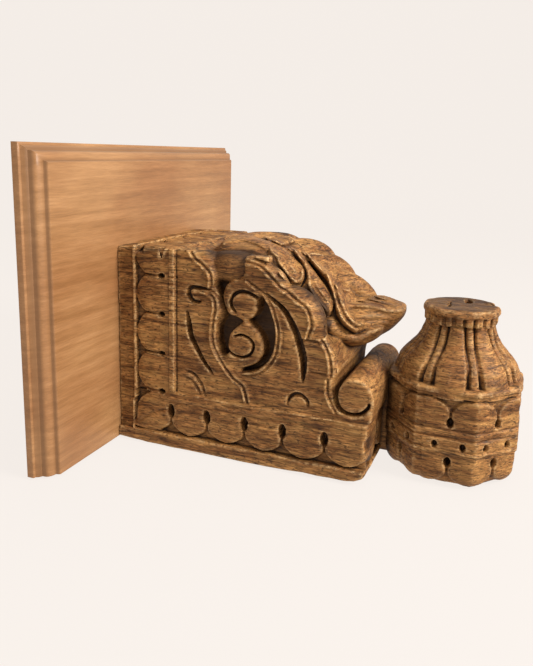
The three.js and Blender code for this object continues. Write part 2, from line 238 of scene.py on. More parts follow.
# Two beads with a groove between, then a fall to the outer edge: across runs from 0 to 1
def rimProfile(across, width, fall):
    place = across * width
    beads = 1.5 * bump(place - 1.4, 1.7) + 1.0 * bump(place - 5.6, 2.0)
    grooves = 1.3 * bump(place + 0.9, 1.0) + 1.1 * bump(place - 3.6, 1.3)
    return beads - grooves - fall * np.clip((place - 4) / np.maximum(width - 4, 1), 0, 1) ** 1.6


sidePanel = {
    "sunk": 1.5,
    "leafRim": {
        "inner": [(62, 174), (67, 169.5), (71, 164.5), (75, 161), (80, 157.5), (84.5, 153), (85.5, 147),
                  (84, 141)],
        "outer": [(80, 176), (84, 171.5), (88, 167), (92, 161), (94.8, 156), (95.5, 152), (94, 148),
                  (91, 143)],
        "fall": 5,
    },
    "lobeRim": {
        "inner": [(77, 137.5), (83, 136), (87, 134), (89, 130), (89.3, 125), (88.2, 119), (87.2, 113),
                  (86.8, 106), (87, 100), (88.5, 93), (91, 88), (94, 83), (100, 75), (107, 67.5), (112, 64),
                  (116, 61), (119, 50)],
        "outer": [(77, 140.5), (88, 140), (92.5, 138.5), (96.5, 134), (99, 128), (100, 123), (98.6, 119),
                  (95.6, 114), (94, 108), (94, 102), (95, 96), (97.5, 90), (101.5, 84), (108, 77.5),
                  (114, 73), (119, 70), (124, 66.5), (128, 61.5), (131, 50)],
        "fall": 3.0,
    },
    "bandRim": {
        "inner": [(118, 150), (121, 147.5), (127, 144.5), (133, 140), (138, 133), (141, 126), (143.5, 118),
                  (144.5, 110), (144, 102), (142, 94), (138, 87), (132, 81), (125, 77), (116, 75)],
        "outer": [(121, 154), (128, 150), (137, 144), (143.5, 136), (148, 127), (151, 117), (152, 107),
                  (151, 97), (148, 89), (142, 81), (134, 75), (126, 72), (118, 72)],
        "fall": 1.2,
    },
    "topRim": {
        "inner": [(117, 163), (124, 162.5), (130, 160.5), (136, 156), (141, 151), (147, 146), (152, 143)],
        "outer": [(117, 172), (130, 169), (137, 167), (143, 162), (148, 157), (152.5, 151)],
        "fall": 5,
    },
    "shoulderRim": {
        "inner": [(150, 145), (158, 139), (163, 136), (168, 132), (171, 122), (169, 115), (168, 110)],
        "outer": [(153, 149.5), (160, 150), (168, 147), (175, 142), (180, 135), (183, 128), (184, 121),
                  (184.5, 113)],
        "fall": 7,
    },
    "throatRim": {
        "inner": [(179, 110), (182, 107), (186, 99), (188, 90), (188, 82)],
        "outer": [(184.5, 115), (188, 110), (191, 105), (194, 97), (195.5, 88), (196, 83)],
        "fall": 3.5,
    },
    "footRim": {
        "inner": [(186, 80), (186, 70), (189, 62), (194, 54)],
        "outer": [(196, 84), (194, 74), (195.5, 62), (204, 52)],
        "fall": 2.5,
    },
}
slits = [  # line, width, where it is widest, depth
    ([(67, 121), (68.5, 112), (70, 103), (74, 94), (82, 81), (91, 70)], 3.6, 0.25, 7),
    ([(136, 143), (148, 134.5), (156, 125.5), (162, 114), (167, 101), (169, 90), (169, 76)], 5.0, 0.72, 8),
    ([(64, 70), (72, 68.5), (78, 63), (82, 57), (84, 50)], 1.8, 0.5, 2.5),
    ([(64, 65), (71, 62), (76, 57), (80, 50)], 1.6, 0.5, 2),
    ([(157, 55), (158, 60), (161.5, 63.7), (166, 65), (170, 63.5), (173.5, 60), (174, 55)], 2.4, 0.45, 4),
    ([(80, 131), (76.5, 129.5), (72, 130.5), (69, 134), (68.5, 138), (70.5, 141), (76, 141.5), (89, 141)],
     3.0, 0.3, 5),
    ([(20, 17), (34, 27), (49, 33)], 1.4, 0.5, 1.2),
    ([(122, 150), (128, 146), (136, 138)], 1.6, 0.5, 1.2),
]
cornerPetal = [(60, 47), (36, 48.3), (30, 45), (24, 41), (19.5, 36), (18, 30), (17.5, 22), (18, 11.5),
               (60, 11.5)]
checks = [  # drying cracks along the grain: from u, to u, height, depth
    (50, 58, 149, 1.6), (84, 99, 115.5, 1.2), (55, 68, 109, 1.4), (55, 88, 136, 0.9), (174, 187, 84, 1.6),
    (166, 184, 109, 1.8), (30, 56, 142, 0.8), (118, 150, 34, 0.8), (20, 56, 90, 0.7), (56, 84, 60, 0.7),
    (134, 160, 66, 0.9), (172, 200, 71, 1.0), (60, 84, 97, 0.7), (100, 128, 45, 1.0), (150, 204, 47, 1.3),
]


# Petal bands of the side face: the upright band by the board, the row along the foot and the petal where
# they meet
def sideBands(u, h):
    b, f = petalBand, footBand
    stripEdge = b["stripEnd"] - 1.8 * ease(38 - h, 3) * ease(h - 10, 2)
    relief = -2.6 * (1 - ease(u - stripEdge, 1.4))
    beadEnd = stripEdge + b["start"] - b["stripEnd"]
    inBand = ease(u - beadEnd, 0.8) * ease(b["end"] - u, 0.8) * ease(h - 46, 1)
    petals = petalRow(u - beadEnd, h, b["sideCusps"], b["row"])
    corner = outlineField(curveThrough(cornerPetal), u, h)
    inFoot = ease(f["top"] - h, 0.8) * ease(h - 10.5, 0.8) * ease(u - 42, 3)
    feet = petalRow(h - f["bottom"], u, f["cusps"], f["row"])
    inCorner = ease(46.5 - h, 1) * ease(h - 10.5, 0.8) * ease(u - beadEnd + 1, 0.8) * (1 - ease(u - 42, 3))
    rolled = 1.1 * (1 - np.clip(-corner / 4.5, 0, 1)) ** 2
    cornerLow = -f["row"]["ground"] * ease(corner, 1.2) - 0.3 - rolled
    relief += inBand * petals + inFoot * feet + inCorner * cornerLow
    return relief - (0.9 * bump(h - f["top"] - 0.4, 1.0) + 0.4 * bump(h - 11, 1.0)) * ease(u - 50, 2)


# Whole side face: bands, the ridge beside them, the sunk panel with its beaded rims, slits and drying cracks
def sideRelief(u, h):
    b, f, p = petalBand, footBand, sidePanel
    relief = sideBands(u, h)
    ridge = ease(h - f["shelf"], 2) * ease(u - 51, 1) * ease(56 - u, 1)
    relief += 0.9 * ridge - 0.9 * bump(u - 50.4, 0.9) * ease(h - 49, 2)
    inPanel = ease(u - b["ridgeEnd"], 1.0) * ease(h - f["shelf"], 1.6)
    relief -= p["sunk"] * inPanel + 1.2 * bump(u - 57.2, 1.0) * inPanel
    arris = 47.8 + 0.7 * waviness(u, h * 0, (8, 5), 61)
    relief += 0.5 * bump(h - arris, 1.6) * ease(u - 50, 3)
    for rim in (p[name] for name in p if name.endswith("Rim")):
        inner, outer = curveThrough(rim["inner"]), curveThrough(rim["outer"])
        toInner, _ = nearLine(inner, u, h)
        toOuter, _ = nearLine(outer, u, h)
        within = ease(-outlineField(np.vstack([inner, outer[::-1]]), u, h), 1.2)
        across = toInner / (toInner + toOuter + 1e-6)
        lower = 0.2 + 0.8 * ease(h - 84, 12) if rim is p["lobeRim"] else 1
        relief += within * rimProfile(across, np.maximum(toInner + toOuter, 6), rim["fall"] * lower)
    for line, width, widest, deep in slits:
        gap, along = nearLine(curveThrough(line), u, h)
        swell = np.where(along < widest, along / widest, (1 - along) / (1 - widest))
        half = 0.35 + width / 2 * np.sqrt(np.clip(swell, 0, 1))
        relief -= deep * ease(half - gap, 1.4) * (0.35 + 0.65 * np.clip(swell * 3, 0, 1))
    for start, end, height, deep in checks:
        wander = height + 0.9 * waviness(u, h * 0, (9, 5), int(height))
        relief -= deep * bump(h - wander, 0.9) * ease(u - start, 4) * ease(end - u, 4)
    for height, cell, seed in ((0.4, (11, 6), 3), (0.3, (24, 2.6), 4), (0.22, (5, 2.8), 5)):  # tool marks
        relief += height * waviness(u, h, cell, seed)
    return relief


# Outlines in u and h


sideOutline = np.vstack([
    [(-4, -4), (223, -4), (223.5, 40), (224.5, 52)],
    curveThrough([(225.5, 60), (225, 70), (220, 78.5), (211, 83.5), (202, 82), (198.5, 84)]),
    curveThrough([(196.5, 86), (195, 94), (191.5, 104), (186, 112), (184.6, 115)]),
    curveThrough([(184, 122), (182.5, 129), (179, 136), (173, 143), (165, 148), (158, 149.8),
                  (153, 149.3)]),
    curveThrough([(152, 152), (148, 158), (143, 162), (138.5, 165), (137.5, 167)]),
    [(137.4, 172.8), (-4, 172.8)],
])
farOutline = np.vstack([
    [(-4, -4), (223, -4), (223, 49), (184, 49)],
    curveThrough([(183, 72), (181, 98), (181, 122)]),
    curveThrough([(180, 128), (174, 136), (166, 143), (159, 147), (154, 148)]),
    curveThrough([(151, 152), (148, 157), (143, 160.5), (138, 163)]),
    [(124, 165), (112, 170), (62, 171.5), (-4, 171.5)],
])
# Deep pockets beside the volutes: the left one opens into the top's hollow, the right one is a crescent
leftPocket = np.vstack([
    curveThrough([(83, 182), (84, 171.5), (88, 167), (92, 161), (94.8, 156), (95.6, 152), (94, 148),
                  (92, 144), (93.5, 140.5), (96.2, 135.5), (98.4, 129.5), (99.8, 124), (98.6, 119),
                  (95.8, 114), (94.2, 109), (94.2, 103), (95, 97), (97, 91), (100, 87)]),
    curveThrough([(103, 88.5), (104.6, 91.5), (104, 95), (104, 100), (105.5, 106), (109.5, 111),
                  (114, 114.8), (116.5, 118), (111, 120.6), (105, 122.2), (101.6, 127), (99, 134),
                  (99.4, 141), (102.5, 147), (108, 151), (114, 153), (117, 157), (117.4, 165),
                  (117.6, 182)]),
])
rightPocket = np.vstack([
    curveThrough([(130, 138.5), (134, 138.5), (138, 133), (141, 126), (143.5, 118), (144.6, 110),
                  (144, 102), (142, 94), (138, 87), (132, 81), (125, 77), (116, 75.4)]),
    curveThrough([(116.5, 78.5), (121, 80.6), (127, 83.4), (132, 88), (135, 94), (135, 101), (132.2, 108),
                  (128, 113), (122.5, 116.8), (121.5, 119.5), (125.5, 122.5), (128.6, 128), (129.2, 133)]),
])
voluteGrooves = [
    ([(110.5, 125), (107, 129), (106.2, 134), (108.5, 138.6), (113, 141.6), (118, 142.4), (124, 141),
      (129, 138), (133, 134)], 2.8),
    ([(110, 105.2), (115, 106.8), (120, 105.8), (124.4, 103.4), (126.6, 99), (125.4, 93.8), (121.5, 90),
      (116.5, 88.3), (111, 89), (106.5, 91), (102, 94)], 2.2),
]
rollGroove = ([(200, 80.5), (196.6, 74), (196.4, 67), (199, 60.5), (204.5, 56.6), (211, 56), (217, 58),
               (221.5, 63), (222.3, 66)], 3.4)


# Distance to a groove's line, less half its width, which tapers to both ends
def grooveField(groove, u, h):
    gap, along = nearLine(curveThrough(groove[0]), u, h)
    half = groove[1] / 2 * (0.35 + 0.65 * np.sqrt(bump(along - 0.5, 0.52)))
    return (gap - half).astype(np.float32)[None]


# Acanthus leaf: curves in u for its back, underside and half width

leaf = {
    "start": 66,
    "tip": 233,
    "back": [(66, 165), (80, 175), (96, 177.6), (124, 177.8), (138, 174), (148, 169), (158, 162.5),
             (169, 154.5), (178, 147), (188, 139), (196, 134.8), (204, 134), (213, 133.6), (224.6, 130.8),
             (230.4, 128.5), (233, 126.7)],
    "under": [(66, 100), (150, 90), (190, 92), (202, 95), (212, 100.5), (222, 107.5), (229, 115.5),
              (232, 120), (233, 122)],
    "nearSide": [(66, 40), (80, 48), (96, 53), (124, 56), (150, 58), (174, 58), (186, 53), (196, 44),
                 (205, 35), (213, 28), (221, 22), (227, 16.5), (231, 10.5), (233, 4)],
    "farSide": [(66, 32), (96, 36), (150, 36), (174, 34), (188, 31), (200, 28), (210, 25), (221, 20),
                (227, 15), (231, 9.5), (233, 4)],
    "drop": [(66, 10), (100, 13), (124, 16), (150, 25), (176, 30), (190, 26), (210, 21), (233, 1)],
    "power": [(66, 3.4), (118, 3.4), (146, 2.3), (186, 2.2), (204, 3), (233, 3)],
}

# The leaf's lines are drawn on the block's near face as they are seen past it from the front quarter, and
# are carried back along those sight lines on to the leaf; the far half has them mirrored.
leafSight = {
    "x": -541.4,
    "u": 321.7,
    "h": 251.4,
    "plane": -75,
    "low": (96, 100),
    "high": (252, 196),
    "step": 0.6,
}
leafDrawing = {
    "lobes": [  # outline, rise, how far the edge is rounded
        ([(138.5, 181), (145, 178.5), (150, 178.6), (156, 175.6), (162, 171), (166.6, 166), (168.2, 160),
          (166.6, 154), (163, 149.4), (157, 147), (151, 148), (149, 153), (147, 158), (143, 162),
          (139, 166), (138, 173)], 10, 7),
        ([(158, 181), (164, 177.5), (172, 169.5), (180, 161), (185.5, 155), (189.5, 149), (191.5, 143),
          (191.3, 137), (188.5, 131.6), (184, 131), (180, 134.5), (175.5, 140.5), (170, 145.5),
          (165, 149.6), (167.8, 155), (169.5, 161), (167.5, 167), (161, 174)], 10, 7),
        ([(168, 179), (176, 174), (183, 168), (188, 162.5), (194, 155), (199, 147), (201.5, 140),
          (205, 134), (210, 130.4), (214, 131), (216.5, 128), (214, 123), (209, 120.8), (203.5, 123),
          (198, 127), (194, 133), (192.6, 140), (191, 147), (187, 155), (181, 162.6), (173, 170.5)], 9, 6),
        ([(180.5, 130.6), (186, 130), (192, 131.5), (197, 127.5), (203, 122.6), (209, 120.2), (216, 123.4),
          (222, 127), (230, 128), (226, 119), (216, 112), (206, 107), (196, 110), (189, 116), (184, 120),
          (181, 125)], 5.5, 7),
        ([(99, 177.5), (106, 180.5), (118, 182.5), (130, 180), (137, 176.6), (141, 180), (134, 185),
          (122, 188), (108, 187), (98, 183)], 3, 3),
    ],
    "ridges": [  # line, half width, rise
        ([(141, 177.5), (145, 174), (147.2, 170), (149.5, 166.5), (153, 163.3), (157, 158.8), (160, 156),
          (162.6, 155.2), (165.2, 157), (166.6, 160.5), (166, 164)], 1.3, 2.0),
        ([(164, 170), (168, 166), (171, 160), (172.4, 152.5), (176, 146.4), (180, 141.4), (184, 137.8),
          (187.4, 135)],
         1.3, 1.7),
        ([(182, 170), (186, 163.6), (189, 155.5), (191.2, 147.6), (193.6, 140.5), (196.6, 134),
          (199.6, 128.8), (204.2, 125), (209.4, 122.4)], 1.3, 1.9),
        ([(186, 165), (193, 156), (198.4, 147), (200.5, 140.5), (203.4, 134), (208, 129.4),
          (213, 127.2)], 1.2, 1.2),
        ([(165, 178.5), (172, 176), (180, 172), (184.5, 168), (187, 163), (190.5, 157.5), (197, 153.6),
          (203.5, 152.4)],
         1.3, 1.3),
        ([(199, 141.2), (205, 141.3), (215, 142), (222, 142), (228, 141.2), (233, 140.4), (238, 141),
          (242, 141.6)],
         1.3, 1.2),
    ],
    "grooves": [  # line, half width, depth
        ([(150, 175), (156, 171.5), (161, 167), (163.6, 162), (161.5, 159.5), (157, 162.5),
          (153, 167)], 2.6, 1.8),
        ([(163, 176), (172, 169), (180, 160.3), (184.4, 154.8), (188.4, 148.8), (190.4, 144)], 0.9, 2.6),
        ([(174, 158), (177, 151), (181.5, 146), (185, 141.5), (187.6, 138)], 1.2, 1.2),
        ([(187.5, 160), (191.6, 153), (194, 146), (196.6, 139.5), (200, 132.8), (205, 128)], 1.2, 1.7),
        ([(171, 171), (177, 163.5), (182, 156.5), (186, 150)], 0.7, 1.0),
        ([(181, 171), (186.5, 163), (190, 155.5)], 0.7, 0.9),
        ([(149.5, 163), (154, 157), (158.5, 152.4)], 0.8, 1.0),
        ([(147, 176), (152, 172.5), (155.5, 168)], 0.7, 0.9),
        ([(205, 127), (211, 125), (217, 127.5)], 0.8, 0.8),
        ([(126, 187), (135, 185.4), (145, 182.3), (153, 179), (160, 174.6), (166, 169)], 1.1, 1.8),
        ([(134, 188.6), (148, 186), (158, 181.6), (166, 176.3)], 1.0, 1.4),
        ([(150, 188.2), (162, 182.4), (172, 176.2), (180, 170)], 1.1, 1.7),
        ([(172, 175.8), (180, 173.6), (188, 172)], 1.2, 2.0),
        ([(139, 187), (144, 187.6)], 1.4, 2.4),
        ([(150, 181.3), (155, 182)], 1.2, 2.0),
        ([(204, 147.2), (215, 146.6), (225, 145.6), (236, 143.4)], 0.8, 0.9),
        ([(206, 149.2), (218, 148.8), (229, 147.5), (239, 145.2)], 0.8, 0.8),
        ([(203, 145), (212, 144.4), (222, 144.2), (233, 142.6)], 0.8, 0.8),
        ([(203, 132), (212, 136), (222, 138), (232, 137)], 1.0, 0.5),
        ([(209, 128), (218, 131), (228, 133), (236, 133)], 1.0, 0.5),
        ([(213, 122), (222, 126), (231, 129.5)], 1.0, 0.5),
    ],
}


# Relief of the leaf on its drawing plane: cushions for the lobes, then ridges and grooves along lines
def leafRelief(u, h):
    relief = 0
    for outline, rise, rounding in leafDrawing["lobes"]:
        inward = np.clip(-outlineField(curveThrough(outline + outline[:1], 4), u, h) / rounding, 0, 1)
        relief = np.maximum(relief, rise * np.sqrt(1 - (1 - inward) ** 2))
    for line, half, rise in leafDrawing["ridges"]:
        gap, along = nearLine(curveThrough(line), u, h)
        relief = relief + 1.6 * rise * bump(gap, half * 1.5) * ease(along, 0.2) * ease(1.05 - along, 0.2)
    for line, half, deep in leafDrawing["grooves"]:
        gap, along = nearLine(curveThrough(line), u, h)
        relief = relief - 1.9 * deep * bump(gap, half * 1.4) * np.sqrt(bump(along - 0.5, 0.56))
    return relief.astype(np.float32)


# Height of the smooth curve through points at each u
def follow(points, u):
    line = curveThrough(points, 10)
    return np.interp(u, line[:, 0], line[:, 1])


# The leaf is a rounded back about an axis that falls to the tip, a superellipse in section, wider on the
# near side, with the drawn relief standing on it.
def leafField(x, u, h):
    back, under, drop, power = (follow(leaf[k], u) for k in ("back", "under", "drop", "power"))
    side = np.where(x < 0, follow(leaf["nearSide"], u), follow(leaf["farSide"], u))
    shoulder = back - np.minimum(drop, 0.7 * (back - under))
    rise = h - shoulder
    tall = np.where(rise > 0, back - shoulder, shoulder - under)
    power = np.where(rise > 0, power, 2)
    ring = ((np.abs(x) / side) ** power + (np.abs(rise) / tall) ** power) ** (1 / power)
    scale = np.hypot(x, rise) / np.maximum(ring, 0.05)
    skin = (ring - 1) * np.clip(scale, 2, 60) * 0.8
    sight = leafSight
    shrink = (sight["plane"] - sight["x"]) / (-np.abs(x) - sight["x"])
    i = (sight["u"] + (u - sight["u"]) * shrink - sight["low"][0]) / sight["step"]
    j = (sight["h"] + (h - sight["h"]) * shrink - sight["low"][1]) / sight["step"]
    planeU = np.arange(sight["low"][0], sight["high"][0], sight["step"])[:, None]
    planeH = np.arange(sight["low"][1], sight["high"][1], sight["step"])[None]
    drawn = leafRelief(planeU, planeH)
    i, j = (np.clip(k, 0, n - 1.001).astype(np.float32) for k, n in zip((i, j), drawn.shape))
    a, c = i.astype(int), j.astype(int)
    s, t = i - a, j - c
    low = drawn[a, c] * (1 - t) + drawn[a, c + 1] * t
    relief = low * (1 - s) + (drawn[a + 1, c] * (1 - t) + drawn[a + 1, c + 1] * t) * s
    skin = skin - relief + 6 * ease(u - 130, 30) * ease(198 - u, 20)  # lowered between the lobes
    return trim(trim(skin, u - leaf["tip"], 2), leaf["start"] - u, 2)


# A fat bent stem that swells in the middle: a chain of round joints, thinner towards both ends
def lobeField(x, u, h, root, bend, tip, width, thick):
    t = np.linspace(0, 1, 12)[:, None]
    a, b, c = (np.array(p, float) for p in (root, bend, tip))
    spine = (1 - t) ** 2 * a + 2 * t * (1 - t) * b + t**2 * c
    radius = np.sqrt(np.clip(np.sin(math.pi * t[:, 0] ** 1.25), 0, 1))
    field = np.full(np.broadcast(x, u, h).shape, 50, np.float32)
    for place, r in zip(spine, radius):
        joint = ((u - place[1]) / thick) ** 2 + ((h - place[2]) / thick) ** 2
        joint = np.sqrt(joint + ((x - place[0]) / width) ** 2)
        field = merge(field, (joint * 2 - r) * min(width, thick) / 2, 3)
    return field


# Block of the corbel as one field: distance to its surface in mm, negative in the wood


block = {
    "half": 75,
    "reach": 223,
    "top": 172.6,
    "farWall": 48,
    "farStep": {"shelf": 49, "middle": 70, "length": 28},
    "throatFar": 30,
    "behindRim": {"deep": 14, "x": -61, "u": 122, "h": 112},
    "pocketDeep": 15,
    "spiralDeep": 7,
    "stripSunk": 2.2,
    "wornField": {"start": 56, "low": 2.2, "fall": 3.5, "middle": 62, "length": 30},
    "keptRim": {"x": -56, "u": 57, "rise": 4.5},
    "footProud": 0.3,
    "footReach": 222.6,
    "footTop": 9.8,
    "sole": [(-5, 0.4), (12, -0.2), (30, -1.3), (140, -1.3), (158, -0.6), (172, 0.6), (184, 0), (205, 0.2),
             (214, 1.6), (220, 4.5), (224, 9)],
    "roll": {"centre": (209.5, 68), "radius": 16, "taper": 2.5, "grooveDeep": 9},
    "seat": {"centre": (210.5, 54), "half": (12.5, 7)},
    "cleft": [(203, 82.5), (199, 77), (197.4, 69), (199, 62), (203, 57), (198, 58), (195, 64), (194.2, 73),
              (195.3, 83), (198, 87.5), (203, 82.5)],
    "cleftFar": 52,
    "cup": {
        "spine": ((-60, 84, 156), (-58, 100, 164), (-60, 118, 154)),
        "width": 24,
        "thick": 26,
        "top": 172,
    },
    "neck": {"half": 18, "middle": 39, "tall": 34, "from": 210, "to": 237},
}
farLobes = [  # the leaf's lobes on the far side: root, bend, tip, width, thickness
    ((14, 92, 172), (34, 114, 174), (41, 127, 163), 24, 13),
    ((14, 112, 170), (38, 148, 170), (42, 157, 147), 25, 17),
    ((12, 132, 162), (37, 170, 157), (42, 177, 124), 25, 19),
    ((8, 156, 148), (28, 186, 138), (36, 200, 108), 26, 24),
]


# Near part with the lobed front, merged with the far wing that is set back behind it: each is the greater
# of its outline and its faces. Behind the near face's rim the wood drops away to the leaf.
def upperBlock(b, x, u, h, near, wall):
    rim = b["behindRim"]
    lowered = rim["deep"] * ease(x - rim["x"], 5) * ease(u - rim["u"], 8) * ease(h - rim["h"], 12)
    nearShape = outlineField(sideOutline, u[0], h[0]).astype(np.float32)[None]
    farShape = outlineField(farOutline, u[0], h[0]).astype(np.float32)[None]
    body = trim(trim(nearShape + lowered, -b["half"] - near - x, 2.5), x - b["throatFar"], 3)
    wing = trim(trim(farShape, x - wall - 0.8 * near, 2.5), -x, 2)
    return merge(body, wing, 2)


# Pockets are cut round the volutes down to an uneven floor, and the volutes left standing get their spirals
def cutPockets(b, field, x, u, h, wall, pocket):
    deep = b["pocketDeep"] + 2.5 * waviness(u[0], h[0], (14, 14), 7)
    inward = np.minimum(x + b["half"], wall - x)
    field = trim(field, -trim(pocket, inward - deep, 2.5), 4.2)
    for groove in voluteGrooves:
        spiral = grooveField(groove, u[0], h[0])
        field = trim(field, -trim(spiral, inward - b["spiralDeep"], 1.5), 1.8)
    return field


# Top: the sunk strip at the back, its own petal band and a worn field that falls to the leaf. The near rim of
# the side panel stays up beside that field.
def cutTop(b, field, x, u, h):
    band, worn, kept = petalBand, b["wornField"], b["keptRim"]
    across, out = x[:, :, 0], u[:, :, 0]
    inBand = ease(out - band["start"], 0.8) * ease(band["end"] - out, 0.8)
    petals = petalRow(out - band["start"] + 0 * across, across + 0 * out, band["topCusps"], band["row"])
    relief = 1.3 * inBand * petals - b["stripSunk"] * (1 - ease(out - band["stripEnd"], 1.4))
    relief -= worn["low"] * ease(out - worn["start"], 2)
    relief -= worn["fall"] * ease(out - worn["middle"], worn["length"])
    relief += 0.6 * waviness(across + 90, out, (9, 14), 11)
    keep = kept["rise"] * ease(kept["x"] - x, 6) * ease(u - kept["u"], 4)
    return trim(field, h - b["top"] - relief[:, :, None].astype(np.float32) - keep, 2)


# Foot: petals on the front, a proud fillet round the base and a worn, uneven underside
def addFoot(b, field, x, u, h):
    band = footBand
    across, up = x[:, 0, :], h[:, 0, :]
    petals = petalRow(up - band["bottom"] + 0 * across, across + 0 * up, band["frontCusps"], band["row"])
    front = ease(band["top"] - up, 0.8) * ease(up - band["bottom"] + 1, 0.8) * petals * ease(across + 65, 7)
    front = front + 40 * ease(up - 52, 3)  # above the shelf nothing is cut back, for the roll lies there
    field = trim(field, u - b["reach"] - front.astype(np.float32)[:, None, :], 5)
    wear = 0.9 * waviness(x + 90, u, (12, 13), 13)
    base = trim(np.abs(x) - b["half"] - b["footProud"] - wear, u - b["footReach"] - wear, 6)
    field = merge(field, trim(base, h - b["footTop"], 1.8), 1.2)
    sole = np.interp(u, *np.array(b["sole"], float).T).astype(np.float32)
    return trim(trim(field, sole - h, 2), -u, 1)


# Roll across the front to the far wall: a cylinder, a little thinner to the far side, on its seat, with a
# spiral cut in its near end. A cleft parts it from the throat, right across.
def addRoll(b, field, x, u, h):
    r, seat = b["roll"], b["seat"]
    rolled = np.hypot(u - r["centre"][0], h - r["centre"][1]) - r["radius"] + r["taper"] * ease(x - 10, 60)
    rolled = trim(trim(rolled, x - b["farWall"], 5), -b["half"] - x + 0.4, 2.5)
    (seatU, seatH), (halfU, halfH) = seat["centre"], seat["half"]
    under = np.maximum(np.abs(u - seatU) - halfU, np.abs(h - seatH) - halfH)
    under = trim(trim(under, x - b["farWall"] + 2, 3), -b["half"] - x + 1.5, 2)
    field = merge(field, merge(rolled, under, 4), 1.5)
    spiral = grooveField(rollGroove, u[0], h[0])
    field = trim(field, -trim(spiral, x + b["half"] - r["grooveDeep"], 1.5), 1.8)
    cleft = outlineField(curveThrough(b["cleft"]), u[0], h[0]).astype(np.float32)[None]
    return trim(field, -trim(cleft, x - b["cleftFar"], 3), 1.5)


# Part of the lattice between two distances in mm from its first corner, along each axis
def latticeWindow(step, across, out, up):
    return tuple(slice(int(low / step), high and int(high / step)) for low, high in (across, out, up))


# Leaf with its far lobes, and the rolled form in the top's hollow, each worked out only where it can reach
def addLeaf(b, field, x, u, h, step):
    window = latticeWindow(step, (14, 138), (66, None), (80, None))
    there = x[window[0]], u[:, window[1]], h[:, :, window[2]]
    crown = leafField(*there).astype(np.float32)
    for root, bend, tip, width, thick in farLobes:
        crown = merge(crown, lobeField(*there, root, bend, tip, width, thick), 2)
    field[window] = merge(field[window], crown, 1.5)
    cup = b["cup"]
    window = latticeWindow(step, (4, 44), (66, 136), (130, None))
    there = x[window[0]], u[:, window[1]], h[:, :, window[2]]
    rolled = lobeField(*there, *cup["spine"], cup["width"], cup["thick"])
    field[window] = merge(field[window], trim(rolled, there[2] - cup["top"], 3), 2)


# Where the wood is darkened, 0 to 1: painted shade deep in the pockets and cuts, a little grime on the
# handled tip, and painted shadow on the front hidden behind the bud, round the neck
def blockShadeAndGrime(b, x, u, h, near, wall, pocket):
    # Painted shade: darker the deeper a pocket or cut lies below the face
    cuts = np.maximum(ease(-pocket[0], 2), ease(-near[0] - 3.2, 1.5))[None]
    depth = np.minimum(x + b["half"], wall - x)
    shadeAndGrime = cuts * ease(depth - 6, 9) * ease(24 - depth, 4)
    shadeAndGrime = np.maximum(shadeAndGrime, 0.3 * ease(u - 204, 14) * ease(h - 104, 10))
    # Painted shadow on the block's front where the bud's neck meets it
    return np.maximum(shadeAndGrime, ease(u - 225, 3) * ease(28 - np.abs(x), 4) * ease(78 - h, 4))


# Lattice of the block, its field, its painted shade and grime, and the lattice's first corner
def blockField(step):
    b, far, neck = block, block["farStep"], block["neck"]
    x = np.arange(-81, 81.01, step, dtype=np.float32)[:, None, None]
    u = np.arange(-3, 239.01, step, dtype=np.float32)[None, :, None]
    h = np.arange(-5, 185.01, step, dtype=np.float32)[None, None, :]
    near = sideRelief(u[0], h[0]).astype(np.float32)[None]
    print("side relief done")
    setBack = (b["half"] - b["farWall"]) * ease(u - far["middle"], far["length"])
    wall = np.where(h > far["shelf"], b["half"] - setBack, b["half"])
    pocket = np.minimum(outlineField(leftPocket, u[0], h[0]), outlineField(rightPocket, u[0], h[0]))
    pocket = pocket.astype(np.float32)[None]
    field = upperBlock(b, x, u, h, near, wall)
    print("block outline done")
    field = cutPockets(b, field, x, u, h, wall, pocket)
    print("pockets and volutes done")
    field = cutTop(b, field, x, u, h)
    print("top done")
    field = addFoot(b, field, x, u, h)
    print("foot done")
    field = addRoll(b, field, x, u, h)
    print("roll done")
    addLeaf(b, field, x, u, h, step)
    print("leaf done")
    stub = trim(np.abs(x) - neck["half"], np.abs(h - neck["middle"]) - neck["tall"], 4)
    field = merge(field, np.maximum(stub, np.maximum(neck["from"] - u, u - neck["to"])), 1)
    corner = float(x[0, 0, 0]), float(u[0, 0, 0]), float(h[0, 0, 0])
    return field, blockShadeAndGrime(b, x, u, h, near, wall, pocket), corner


# Running means along each axis in turn: a soft blur of the solid
def softened(solid, reach):
    for axis in range(3):
        widths = [(reach + 1, reach) if a == axis else (0, 0) for a in range(3)]
        total = np.cumsum(np.pad(solid, widths, "edge"), axis, dtype=np.float32)
        length = solid.shape[axis]
        ahead = [slice(None)] * 3
        behind = [slice(None)] * 3
        ahead[axis] = slice(2 * reach + 1, 2 * reach + 1 + length)
        behind[axis] = slice(0, length)
        solid = (total[tuple(ahead)] - total[tuple(behind)]) / (2 * reach + 1)
    return solid


# Value of a field between its knots, eight neighbours weighted by nearness
def valueAt(field, places):
    places = np.clip(places, 0, np.array(field.shape) - 1.001)
    low = places.astype(int)
    part = places - low
    value = 0
    for i in (0, 1):
        for j in (0, 1):
            for k in (0, 1):
                weight = np.abs(np.array([1 - i, 1 - j, 1 - k]) - part).prod(1)
                value = value + weight * field[low[:, 0] + i, low[:, 1] + j, low[:, 2] + k]
    return value


# Drops loose crumbs and sealed bubbles: every corner takes the lowest number that its faces share, over and
# over, until each body has one number, and the most common number is the timber
def largestBody(points, quads):
    number = np.arange(len(points))
    while True:
        before = number.copy()
        np.minimum.at(number, quads.ravel(), np.repeat(number[quads].min(1), 4))
        number = number[number]
        if (number == before).all():
            break
    kept = quads[number[quads[:, 0]] == np.bincount(number).argmax()]
    used = np.unique(kept)
    return points[used], np.searchsorted(used, kept)


